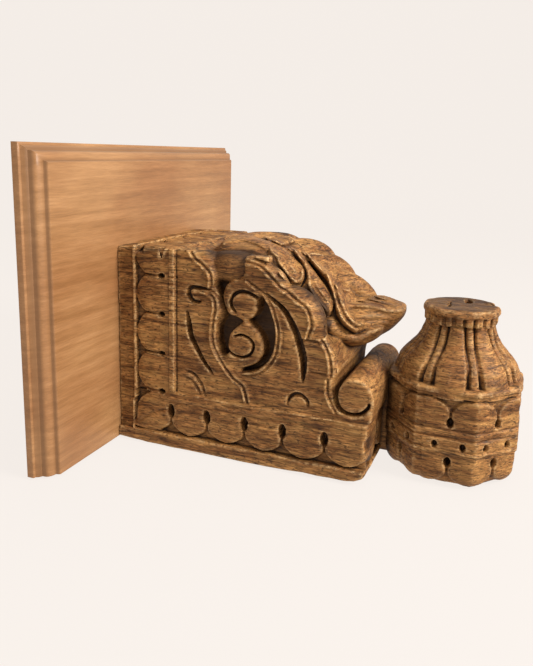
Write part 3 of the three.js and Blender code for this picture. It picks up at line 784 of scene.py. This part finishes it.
# Faces of the surface where the field is nought, thinned where the wood is flat
def carvedPiece(name, made, step, material, most):
    field, shadeAndGrime, origin = made
    volume = openvdb.FloatGrid()
    volume.background = 3.0
    volume.copyFromArray(np.clip(field, -3, 3))
    points, _, quads = volume.convertToPolygons(isovalue=0.0, adaptivity=0.0)
    points, quads = largestBody(points, quads)
    print(name, "has", len(quads), "quads before thinning")
    places = points * step + np.array(origin)
    row = np.stack([places[:, 0], blockBack - places[:, 1], places[:, 2] + boardFoot], 1) * mm
    piece = addPiece(name, row, quads, material)
    thin = piece.modifiers.new("thin", "DECIMATE")
    thin.ratio = min(1, most / (2 * len(quads)))
    bpy.context.view_layer.update()
    thinned = bpy.data.meshes.new_from_object(piece.evaluated_get(bpy.context.evaluated_depsgraph_get()))
    piece.modifiers.clear()
    piece.data = thinned
    count = len(thinned.vertices)
    where = np.empty(count * 3)
    thinned.vertices.foreach_get("co", where)
    where = where.reshape(-1, 3) / mm
    index = np.stack([where[:, 0], blockBack - where[:, 1], where[:, 2] - boardFoot], 1)
    index = (index - np.array(origin)) / step
    solid = np.clip(0.5 - field / step, 0, 1)
    near, middle, far = (max(1, round(size / step)) for size in (1.6, 3, 5))  # mm to lattice steps
    fine = valueAt(softened(softened(solid, near), 1), index)
    broad = valueAt(softened(softened(solid, far), middle), index)
    setCarving(thinned, fine, broad, valueAt(shadeAndGrime, index))
    return piece


# How hollow the place is: 0.5 on a flat, more in a recess, less on an edge. Red is fine, green is broad, and
# blue is painted shade in the deep cuts and at the neck, with some grime, dust and wax.
def setCarving(mesh, fine, broad, shadeAndGrime):
    layer = mesh.color_attributes.new("carving", "FLOAT_COLOR", "POINT")
    values = np.stack([fine, broad, shadeAndGrime, 0 * fine + 1], 1)
    layer.data.foreach_set("color", values.astype(np.float32).ravel())


# Bud in front: an octagon with petals, a fluted vase and a disc


bud = {
    "centre": 279.7,
    "apothem": 49.4,
    "flatHalf": 20.5,
    "longer": 5.5,  # the side flats reach this much further towards the block
    "bottom": -1.3,
    "rim": 79,
    "upper": {"tip": 14, "power": 2, "low": 0.2, "ground": 3.6, "hole": (19.3, 3.4, 2.4), "deep": 7},
    "lower": {"tip": 14, "power": 2, "low": 0.2, "ground": 3.8, "hole": (19.5, 3.8, 2.5), "deep": 8},
    "upperTips": 70.8,
    "upperRoots": 46.5,
    "lowerTips": -0.5,
    "lowerRoots": 25.2,
    "ledgeTop": 74.6,
    "lines": ((46, 1.3), (39.6, 1.2), (36.4, 0.5), (30, 0.8), (26, 1.3)),  # height, depth
    "drills": {"side": 10.5, "h": 33.2, "radius": 2.0, "deep": 6},
    "vaseCentre": 277.2,
    "vase": [(76, 49.5), (80, 49.5), (85, 48), (90, 46.2), (95, 42.5), (100, 38), (105, 33.5), (110, 30.8),
             (115, 28.8), (120, 27.5), (126, 26.5), (131, 26.5)],
    "teeth": {"count": 22, "radius": 28.6, "foot": 121.5, "notch": 3.6},
    "disc": {"radius": 29.6, "foot": 128.2, "top": 135},
    "hollows": ((281, 13, 3.2, 8, 9), (302, 10, 8, 5, 10), (268, -6, 1.5, 10, 2.5)),  # u, x, halves, depth
}


# Relief on a flat of the octagon: s runs along the flat from its middle, h up. Petals stand up and hang down,
# with a ledge over them and a frieze of lines and drilled holes between.
def budRelief(s, h):
    b, drills = bud, bud["drills"]
    side = np.abs(s)
    upper = petalRow(b["upperTips"] - h, side, (0, 2 * b["flatHalf"]), b["upper"])
    lower = petalRow(h - b["lowerTips"], side, (0, 2 * b["flatHalf"]), b["lower"])
    relief = ease(b["upperTips"] + 0.5 - h, 0.8) * ease(h - b["upperRoots"], 0.8) * (upper - 0.4)
    relief -= 1.9 * ease(h - b["upperTips"], 0.8) * ease(b["ledgeTop"] - h, 0.8)
    relief += ease(b["lowerRoots"] - h, 0.8) * (lower - 1.2) - ease(h - b["rim"] + 1.2, 2.0)
    for line, deep in b["lines"]:
        relief -= deep * bump(h - line - 0.35 * waviness(s + 40, h * 0, (7, 5), int(line)), 0.85)
    drill = np.hypot(side - drills["side"], (h - drills["h"]) / 1.35)
    relief -= drills["deep"] * ease(drills["radius"] - drill, 1.4)
    return relief + 0.4 * waviness(s + 60, h + 9, (9, 5), 21) + 0.25 * waviness(s + 60, h + 9, (17, 2.2), 22)


# Octagon: the distance to the nearest flat, with the arrises worn round where two flats meet, less the
# relief. It is cut off at the rim, and its lower edge is rounded, most at the arrises.
def budOctagon(b, x, u, h):
    out = u - b["centre"]
    out = np.where(out < -b["flatHalf"], np.minimum(out + b["longer"], -b["flatHalf"]), out)
    around = np.arctan2(out, x)
    eighth = math.pi / 4
    face = np.round(around / eighth) * eighth
    spread = np.hypot(x, out)
    s = spread * np.sin(around - face)
    toFlat = spread * np.cos(around - face)
    nextFlat = toFlat * math.cos(eighth) + np.abs(s) * math.sin(eighth)
    skin = trim(toFlat, nextFlat, 1.2) - b["apothem"]
    wear = 0.5 * waviness(around * 14 + 60, h + 9, (6, 9), 31) - 0.5
    body = skin - np.minimum(budRelief(s, h) + 0.6 * wear, 0)
    uneven = 0.8 * waviness(x + 60, u, (19, 23), 33) * ease(spread - 30, 20) + 0.8
    toBottom = b["bottom"] + uneven - h + 6 * ease(spread - b["apothem"] + 0.4, 9)
    return trim(trim(body, h - b["rim"], 2), toBottom, 8)


# Vase: a turned shape with eight broad lobes over the flats, and a narrow rib over each arris between two
# grooves
def budVase(b, around, spread, h):
    fromRib = np.abs(((around / (math.pi / 4)) % 1) - 0.5) * 2  # 0 over an arris, 1 over a flat's middle
    line = curveThrough(b["vase"], 10)
    radius = np.interp(h, line[:, 0], line[:, 1]).astype(np.float32)
    high = ease(h - 104, 34)
    split = 0.2 + 0.12 * high + 0.05 * waviness(around * 9 + 40, h, (5, 12), 41)  # the rib widens to the neck
    groove = bump(fromRib - split - 0.06, 0.12)
    lobe = np.sqrt(np.clip(1 - ((1 - fromRib) / (0.95 - split)) ** 2, 0, 1))
    rib = bump(fromRib, split)
    carve = (0.6 + 1.6 * high) * rib + 2.6 * lobe - 2.6 - (1.6 + 2.0 * ease(90 - h, 7) + 1.0 * high) * groove
    carve = carve + 0.5 * waviness(around * 16 + 80, h, (4, 6), 42) - 0.5 * bump((h % 11.7) - 5, 0.8) * lobe
    return trim(trim((spread - radius - carve) * 0.85, h - 130, 1), 70 - h, 1)


# Disc: a worn, round lid on a ring of teeth
def budDisc(b, around, spread, x, u, h):
    teeth, disc = b["teeth"], b["disc"]
    notch = bump(((around + 0.05) / (2 * math.pi) * teeth["count"]) % 1 - 0.5, 0.22)
    ring = (spread - teeth["radius"] + teeth["notch"] * notch) * 0.9
    foot = teeth["foot"] + 1.2 * waviness(around * 9 + 40, h, (3, 9), 43)
    ring = trim(trim(ring, h - 130, 1), foot - h, 2)
    edge = disc["radius"] + 1.1 * waviness(around * 12 + 60, h + 9, (4, 4), 44)
    top = disc["top"] + 0.25 * waviness(x + 60, u, (4, 7), 45)
    return merge(trim(trim(spread - edge, h - top, 4.2), disc["foot"] - h, 3), ring, 1)


# Lattice of the bud, its field, its painted shade and grime, and the lattice's first corner. Dust and old
# wax darken the disc's top, and painted shadow darkens the side that faces the block, round the neck.
def budField(step):
    b = bud
    x = np.arange(-54, 54.01, step, dtype=np.float32)[:, None, None]
    u = np.arange(b["centre"] - 54, b["centre"] + 54.01, step, dtype=np.float32)[None, :, None]
    h = np.arange(-5, 140.01, step, dtype=np.float32)[None, None, :]
    body = budOctagon(b, x, u, h)
    print("bud's octagon done")
    around = np.arctan2(u - b["vaseCentre"], x)
    spread = np.hypot(x, u - b["vaseCentre"])
    field = merge(merge(body, budVase(b, around, spread, h), 0.8), budDisc(b, around, spread, x, u, h), 1)
    for middleU, middleX, longU, longX, deep in b["hollows"]:
        hole = (np.hypot((x - middleX) / longX, (u - middleU) / longU) - 1) * min(longU, longX)
        hole = hole + 0.8 * waviness(x + 60, u, (3, 3), 46)
        field = trim(field, -trim(hole, b["disc"]["top"] - deep - h, 1.5), 0.8)
    print("bud's vase and disc done")
    dusty = 0.8 * ease(h - b["disc"]["top"] + 1.5, 3) * ease(27 - spread, 5)
    # Painted shadow in the gap between the bud and the block
    shadeAndGrime = np.maximum(dusty, 0.9 * ease(236 - u, 4) * ease(24 - np.abs(x), 4) * ease(78 - h, 4))
    return field, shadeAndGrime.astype(np.float32), (float(x[0, 0, 0]), float(u[0, 0, 0]), float(h[0, 0, 0]))


# Backboard: a board with a moulded edge on three sides, cut flat below


board = {
    "low": boardLow,
    "high": boardHigh,
    "stations": 24,
    "crease": 32,  # degrees
    "shadeLines": ((4.4, 2.4, 1), (12.9, 0.9, 0.8)),  # distance in from the edge, half width, strength
    "shadeFront": 6.5,  # no shade is painted nearer to the back than this
    "moulding": [(0, 4.6), (0.2, 5.4), (0.8, 5.9), (2.0, 6.1), (2.4, 7.0), (3.1, 8.1), (4.2, 9.0),
                 (5.4, 9.6), (5.7, 10.4), (5.8, 12.2), (6.2, 13.4), (7.1, 14.6), (8.5, 15.6), (10.2, 16.3),
                 (12.4, 16.8), (12.8, 17.3), (13.1, 18.6), (13.5, 19.5), (14.2, 20.0), (22, 20.0)],
}


# The moulding's section is carried up the left, along the top and down the right, mitred at the corners
def boardSurface(b):
    width, height = (b["high"][0] - b["low"][0]) / mm, (b["high"][2] - b["low"][2]) / mm
    section = np.array(b["moulding"])
    back = np.stack([section[::-1, 0], 0 * section[:, 1]], 1)
    section = np.vstack([back, section])
    d, rise = section[None, :, 0], section[None, :, 1]
    s = np.linspace(0, 1, b["stations"] + 1)[:, None]
    left = np.stack(np.broadcast_arrays(d - width / 2 + 0 * s, -rise, s * (height - d)), -1)
    top = np.stack(np.broadcast_arrays(d - width / 2 + s * (width - 2 * d), -rise, height - d + 0 * s), -1)
    right = np.stack(np.broadcast_arrays(width / 2 - d + 0 * s, -rise, (1 - s) * (height - d)), -1)
    sheets = [left, top, right]
    for end in (0, -1):  # front and back between the mouldings
        low, high = left[:, end][:, None], right[::-1, end][:, None]
        sheets.append(low + (high - low) * s[None])
    half = len(section) // 2
    for row in (left[0], right[-1]):
        sheets.append(np.stack([row[:half][::-1], row[half:]]))
    sheets.append(np.stack([sheets[4][0], sheets[3][0]]))
    return sheets


# The sheets are joined where their edges meet
def makeBoard(name, material):
    sheets = boardSurface(board)
    points, quads, count = [], [], 0
    for sheet in sheets:
        rows, columns = sheet.shape[:2]
        points.append(sheet.reshape(-1, 3))
        quads.append(gridFaces(rows, columns) + count)
        count += rows * columns
    points = (np.vstack(points) + np.array([0, 0, boardFoot])) * mm
    piece = addPiece(name, points, np.vstack(quads), material)
    seam = bmesh.new()
    seam.from_mesh(piece.data)
    bmesh.ops.remove_doubles(seam, verts=seam.verts, dist=0.00001)
    bmesh.ops.recalc_face_normals(seam, faces=seam.faces)
    seam.to_mesh(piece.data)
    seam.free()
    piece.data.set_sharp_from_angle(angle=math.radians(board["crease"]))
    paintMouldingShade(piece.data)
    return piece


# Painted shade lies in the moulding's cove and along its inner step, which a place's distance in from the
# edge tells
def paintMouldingShade(mesh):
    where = np.empty(len(mesh.vertices) * 3)
    mesh.vertices.foreach_get("co", where)
    x, y, z = where.reshape(-1, 3).T / mm
    inward = np.minimum(board["high"][0] / mm - np.abs(x), board["high"][2] / mm - z)
    mouldingShade = sum(strength * bump(inward - at, half) for at, half, strength in board["shadeLines"])
    mouldingShade = np.clip(mouldingShade, 0, 1) * (y < -board["shadeFront"])
    setCarving(mesh, mouldingShade, 0 * mouldingShade, 0 * mouldingShade)


# Materials


# sRGB to linear: a straight line near black, a power above it
def hexColour(code):
    parts = [int(code[i:i + 2], 16) / 255 for i in (1, 3, 5)]
    return tuple(c / 12.92 if c <= 0.04045 else ((c + 0.055) / 1.055) ** 2.4 for c in parts) + (1,)


# Adds a node with its settings. An input is a value, a socket, or a node, which gives its first output. The
# stops of a ramp are places with a hex colour or a grey value.
def addNode(tree, kind, inputs, stops=(), **settings):
    node = tree.nodes.new("ShaderNode" + kind)
    for name, value in settings.items():
        setattr(node, name, value)
    for name, value in inputs.items():
        if isinstance(value, bpy.types.Node):
            value = value.outputs[0]
        if isinstance(value, bpy.types.NodeSocket):
            tree.links.new(value, node.inputs[name])
        else:
            node.inputs[name].default_value = value
    for _ in stops[2:]:
        node.color_ramp.elements.new(0.5)
    for i, (place, colour) in enumerate(stops):
        node.color_ramp.elements[i].position = place
        colour = hexColour(colour) if isinstance(colour, str) else (colour, colour, colour, 1)
        node.color_ramp.elements[i].color = colour
    return node


# Starts a material, and its patterns from a table of grains: noises that are stretched along the wood
def startMaterial(name, sheen, grains):
    material = bpy.data.materials.new(name)
    material.use_nodes = True
    tree = material.node_tree
    tree.nodes.clear()
    shader = addNode(tree, "BsdfPrincipled", {"Specular IOR Level": sheen})
    addNode(tree, "OutputMaterial", {"Surface": shader})
    patterns = []
    for stretch, size, detail, rough, bend in grains.values():
        place = addNode(tree, "TexCoord", {}).outputs["Object"]
        place = addNode(tree, "Mapping", {"Vector": place, "Scale": stretch})
        values = {"Vector": place, "Scale": 1 / (size * mm), "Detail": detail, "Roughness": rough}
        patterns.append(addNode(tree, "TexNoise", {**values, "Distortion": bend}))
    return material, tree, shader, patterns


teakGrains = {  # stretch along x, y and z, size in mm, detail, roughness, distortion
    "fibre": ((0.3, 0.1, 1), 1.6, 4, 0.6, 0),  # real pores are finer, but wouldn't show
    "hair": ((0.3, 0.1, 1), 0.7, 3, 0.65, 0),
    "band": ((0.3, 0.1, 1), 7, 3, 0.6, 0.4),
    "gold": ((0.3, 0.1, 1), 4, 4, 0.7, 0),
    "patch": ((1, 1, 1), 26, 4, 0.6, 0),
    "rub": ((1, 1, 1), 4, 4, 0.65, 0),
    "pits": ((1, 0.45, 1), 1.5, 2, 0.5, 0),
    "check": ((0.16, 0.07, 1), 5.5, 2, 0.4, 0.3),
    "broken": ((0.3, 0.1, 1), 12, 2, 0.55, 0),
}


# Aged teak, carved by hand, waxed and rubbed: dark dirt and painted shade stay in the cuts, edges wear to
# gold with a painted highlight, and the grain opens in fine dark checks along its length
def agedTeak():
    material, tree, shader, patterns = startMaterial("aged waxed teak", 0.18, teakGrains)
    fibre, hair, band, gold, patch, rub, pits, check, broken = patterns
    carving = addNode(tree, "Attribute", {}, attribute_name="carving").outputs["Color"]
    fine, broad, shadeAndGrime = addNode(tree, "SeparateColor", {0: carving}).outputs

    # Growth bands, darkened and lightened by fibres, with golden streaks and darker patches
    wood = addNode(tree, "ValToRGB", {"Fac": band},
                   [(0.32, "#563619"), (0.45, "#7a512b"), (0.57, "#946a3c"), (0.7, "#7c532b")])
    overlays = [
        (fibre, 0.5, [(0.36, 0.24), (0.64, 0.76)]),
        (hair, 0.8, [(0.38, 0.16), (0.6, 0.8)]),
    ]
    for grain, amount, stops in overlays:
        tone = addNode(tree, "ValToRGB", {"Fac": grain}, stops)
        wood = addNode(tree, "MixRGB", {"Fac": amount, "Color1": wood, "Color2": tone}, blend_type="OVERLAY")
    streaks = addNode(tree, "ValToRGB", {"Fac": gold}, [(0.5, 0.0), (0.66, 0.6)])
    wood = addNode(tree, "MixRGB", {"Fac": streaks, "Color1": wood, "Color2": hexColour("#ab8049")})
    clouds = addNode(tree, "ValToRGB", {"Fac": patch}, [(0.32, "#9a7a60"), (0.6, "#ffffff")])
    wood = addNode(tree, "MixRGB", {"Fac": 0.55, "Color1": wood, "Color2": clouds}, blend_type="MULTIPLY")

    # Edges are rubbed pale, here and there: wear, and a painted highlight on the rims
    wearAndHighlight = addNode(tree, "ValToRGB", {"Fac": fine}, [(0.32, 1.0), (0.46, 0.0)])
    uneven = addNode(tree, "ValToRGB", {"Fac": rub}, [(0.42, 0.05), (0.62, 0.8)])
    worn = addNode(tree, "Math", {0: wearAndHighlight, 1: uneven}, operation="MULTIPLY", use_clamp=True)
    wood = addNode(tree, "MixRGB", {"Fac": worn, "Color1": wood, "Color2": hexColour("#c8a271")})

    # Dirt fills the hollows
    # Dirt and painted shade fill the hollows, with painted shade deepest in the pockets and at the neck
    wide = addNode(tree, "ValToRGB", {"Fac": broad}, [(0.58, 0.0), (0.84, 0.75)])
    narrow = addNode(tree, "ValToRGB", {"Fac": fine}, [(0.55, 0.0), (0.74, 0.65)])
    dirtAndShade = addNode(tree, "Math", {0: wide, 1: narrow}, operation="ADD", use_clamp=True)
    # The blue channel: painted shade in the deep cuts and at the neck, with some grime, dust and wax
    deep = addNode(tree, "Math", {0: shadeAndGrime, 1: 0.9}, operation="MULTIPLY", use_clamp=True)
    dirtAndShade = addNode(tree, "Math", {0: dirtAndShade, 1: deep}, operation="MAXIMUM", use_clamp=True)
    wood = addNode(tree, "MixRGB", {"Fac": dirtAndShade, "Color1": wood, "Color2": hexColour("#2c1a0c")})

    # Checks are the thin line where their noise passes its middle, in broken lengths; pits are dark specks
    line = addNode(tree, "ValToRGB", {"Fac": check}, [(0.48, 0.0), (0.495, 1.0), (0.505, 1.0), (0.52, 0.0)])
    length = addNode(tree, "ValToRGB", {"Fac": broken}, [(0.47, 0.0), (0.56, 1.0)])
    line = addNode(tree, "Math", {0: line, 1: length}, operation="MULTIPLY", use_clamp=True)
    specks = addNode(tree, "ValToRGB", {"Fac": pits}, [(0.32, 0.9), (0.39, 0.0)])
    marks = addNode(tree, "Math", {0: line, 1: specks}, operation="MAXIMUM", use_clamp=True)
    dark = addNode(tree, "Math", {0: marks, 1: 0.75}, operation="MULTIPLY", use_clamp=True)
    wood = addNode(tree, "MixRGB", {"Fac": dark, "Color1": wood, "Color2": hexColour("#2a190e")})
    tree.links.new(wood.outputs[0], shader.inputs["Base Color"])

    rough = addNode(tree, "ValToRGB", {"Fac": fibre}, [(0.3, 0.5), (0.7, 0.68)])
    tree.links.new(rough.outputs[0], shader.inputs["Roughness"])
    raised = addNode(tree, "Math", {0: fibre, 1: 0.6}, operation="MULTIPLY", use_clamp=True)
    sunk = addNode(tree, "Math", {0: marks, 1: 0.55}, operation="MULTIPLY", use_clamp=True)
    height = addNode(tree, "Math", {0: raised, 1: sunk}, operation="SUBTRACT", use_clamp=True)
    bumped = addNode(tree, "Bump", {"Height": height, "Strength": 0.75, "Distance": 1.0 * mm})
    tree.links.new(bumped.outputs[0], shader.inputs["Normal"])
    return material


hardwoodGrains = {  # stretch along x, y and z, size in mm, detail, roughness, distortion
    "streak": ((0.06, 0.4, 1), 5, 4, 0.55, 0.3),
    "fibre": ((0.06, 0.4, 1), 0.9, 4, 0.65, 0),  # coarser than the real pores, which wouldn't show
    "cloud": ((0.6, 1, 1), 70, 3, 0.5, 0),
}


# New hardwood, sanded and sealed satin: soft honey streaks along the board, browner clouds, and painted
# shade in the moulding's cove and along its inner step
def sealedHardwood():
    material, tree, shader, patterns = startMaterial("satin sealed hardwood", 0.35, hardwoodGrains)
    streak, fibre, cloud = patterns
    wood = addNode(tree, "ValToRGB", {"Fac": streak}, [(0.3, "#8d6640"), (0.5, "#986f47"), (0.7, "#a47a51")])
    clouds = addNode(tree, "ValToRGB", {"Fac": cloud}, [(0.35, "#c3a184"), (0.62, "#ffffff")])
    wood = addNode(tree, "MixRGB", {"Fac": 0.5, "Color1": wood, "Color2": clouds}, blend_type="MULTIPLY")
    tone = addNode(tree, "ValToRGB", {"Fac": fibre}, [(0.3, 0.3), (0.7, 0.7)])
    wood = addNode(tree, "MixRGB", {"Fac": 0.35, "Color1": wood, "Color2": tone}, blend_type="OVERLAY")
    carving = addNode(tree, "Attribute", {}, attribute_name="carving").outputs["Color"]
    mouldingShade = addNode(tree, "SeparateColor", {0: carving})
    uneven = addNode(tree, "ValToRGB", {"Fac": fibre}, [(0.3, 0.55), (0.7, 0.9)])
    amount = addNode(tree, "Math", {0: mouldingShade, 1: uneven}, operation="MULTIPLY", use_clamp=True)
    # Painted shade, darker in the moulding's cove and along its inner step
    wood = addNode(tree, "MixRGB", {"Fac": amount, "Color1": wood, "Color2": hexColour("#6b4a2c")})
    tree.links.new(wood.outputs[0], shader.inputs["Base Color"])
    rough = addNode(tree, "ValToRGB", {"Fac": streak}, [(0.3, 0.38), (0.7, 0.5)])
    tree.links.new(rough.outputs[0], shader.inputs["Roughness"])
    bumped = addNode(tree, "Bump", {"Height": fibre, "Strength": 0.25, "Distance": 0.3 * mm})
    tree.links.new(bumped.outputs[0], shader.inputs["Normal"])
    return material


teak = agedTeak()
hardwood = sealedHardwood()
print("woods made")

backPiece = makeBoard("moulded_backboard", hardwood)
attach(backPiece, "root")
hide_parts("backboard")
print("backboard made")

# The carving is undercut, pierced and worn soft, which no single sheet of points can follow, so the timber
# is worked out as a field of distances on a fine lattice, and its surface is where the field is nought.
carving = {"step": 0.85, "blockFaces": 190000, "budFaces": 110000}
blockFields = blockField(carving["step"])
blockPiece = carvedPiece("carved_block", blockFields, carving["step"], teak, carving["blockFaces"])
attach(blockPiece, "root")
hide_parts("corbel")
print("block made")

budFields = budField(carving["step"])
budPiece = carvedPiece("lotus_bud", budFields, carving["step"], teak, carving["budFaces"])
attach(budPiece, "root")
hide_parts("corbel")
print("bud made")


# Studio: pale floor that sweeps up behind, and soft lights


studio = {
    "floor": -0.1292,
    "near": -2.5,
    "bend": 1.6,
    "radius": 1.0,
    "colour": "#f6efe9",
    "glow": 0.945,
    "diffuse": 0.05,
    "forward": (0.93, 0.3676),  # the way the camera looks, over the floor
    "halfWidth": 5,
    "wallTop": 4,
    "sky": "#fdf8f3",
    "skyGlow": 0.45,
    "lights": [
        {"at": (-0.22, -1.35, 0.75), "aim": (0, -0.2, 0), "size": 0.5, "power": 35, "tint": (1, 0.97, 0.93)},
        {"at": (-1.3, -0.1, 0.55), "aim": (0, -0.15, 0), "size": 1.2, "power": 4.5, "tint": (1, 0.98, 0.96)},
        {"at": (0.1, -0.3, 1.4), "aim": (0, -0.15, 0), "size": 1.0, "power": 7.5, "tint": (1, 1, 1)},
    ],
}


# A flat sheet, then a quarter turn up and a straight wall, carried across as rows of two
def makeSweep(s):
    turn = np.linspace(0, math.pi / 2, 24)
    rise = s["radius"] * (1 - np.cos(turn))
    away = s["bend"] + s["radius"] * np.sin(turn)
    line = np.vstack([[(s["near"], 0)], np.stack([away, rise], 1), [(s["bend"] + s["radius"], s["wallTop"])]])
    forward = np.array(s["forward"])
    side = s["halfWidth"] * np.array([forward[1], -forward[0]])
    rows = line[:, :1] * forward
    left = np.hstack([rows - side, line[:, 1:] + s["floor"]])
    right = np.hstack([rows + side, line[:, 1:] + s["floor"]])
    points = np.stack([left, right], 1).reshape(-1, 3)
    # Matt paper, lit from within so that it is even, with a little of the lamps' light for the shadow
    material, tree, shader, _ = startMaterial("studio paper", 0, {})
    paper = hexColour(s["colour"])
    shader.inputs["Base Color"].default_value = tuple(s["diffuse"] * c for c in paper[:3]) + (1,)
    shader.inputs["Roughness"].default_value = 0.9
    shader.inputs["Emission Color"].default_value = hexColour(s["colour"])
    shader.inputs["Emission Strength"].default_value = s["glow"]
    addPiece("studio_floor", points, gridFaces(len(line), 2), material)


# A square lamp that faces its aim
def addLight(index, light):
    lamp = bpy.data.lights.new("light_%d" % index, "AREA")
    lamp.size = light["size"]
    lamp.energy = light["power"]
    lamp.color = light["tint"]
    holder = bpy.data.objects.new("light_%d" % index, lamp)
    towards = Vector(light["aim"]) - Vector(light["at"])
    turned = towards.to_track_quat("-Z", "Y").to_matrix().to_4x4()
    holder.matrix_world = Matrix.Translation(light["at"]) @ turned
    bpy.context.scene.collection.objects.link(holder)


makeSweep(studio)
for index, light in enumerate(studio["lights"]):
    addLight(index, light)
world = bpy.data.worlds.new("studio")
bpy.context.scene.world = world
world.use_nodes = True
world.node_tree.nodes["Background"].inputs[0].default_value = hexColour(studio["sky"])
world.node_tree.nodes["Background"].inputs[1].default_value = studio["skyGlow"]
bpy.context.scene.view_settings.view_transform = "Standard"
print("studio made")
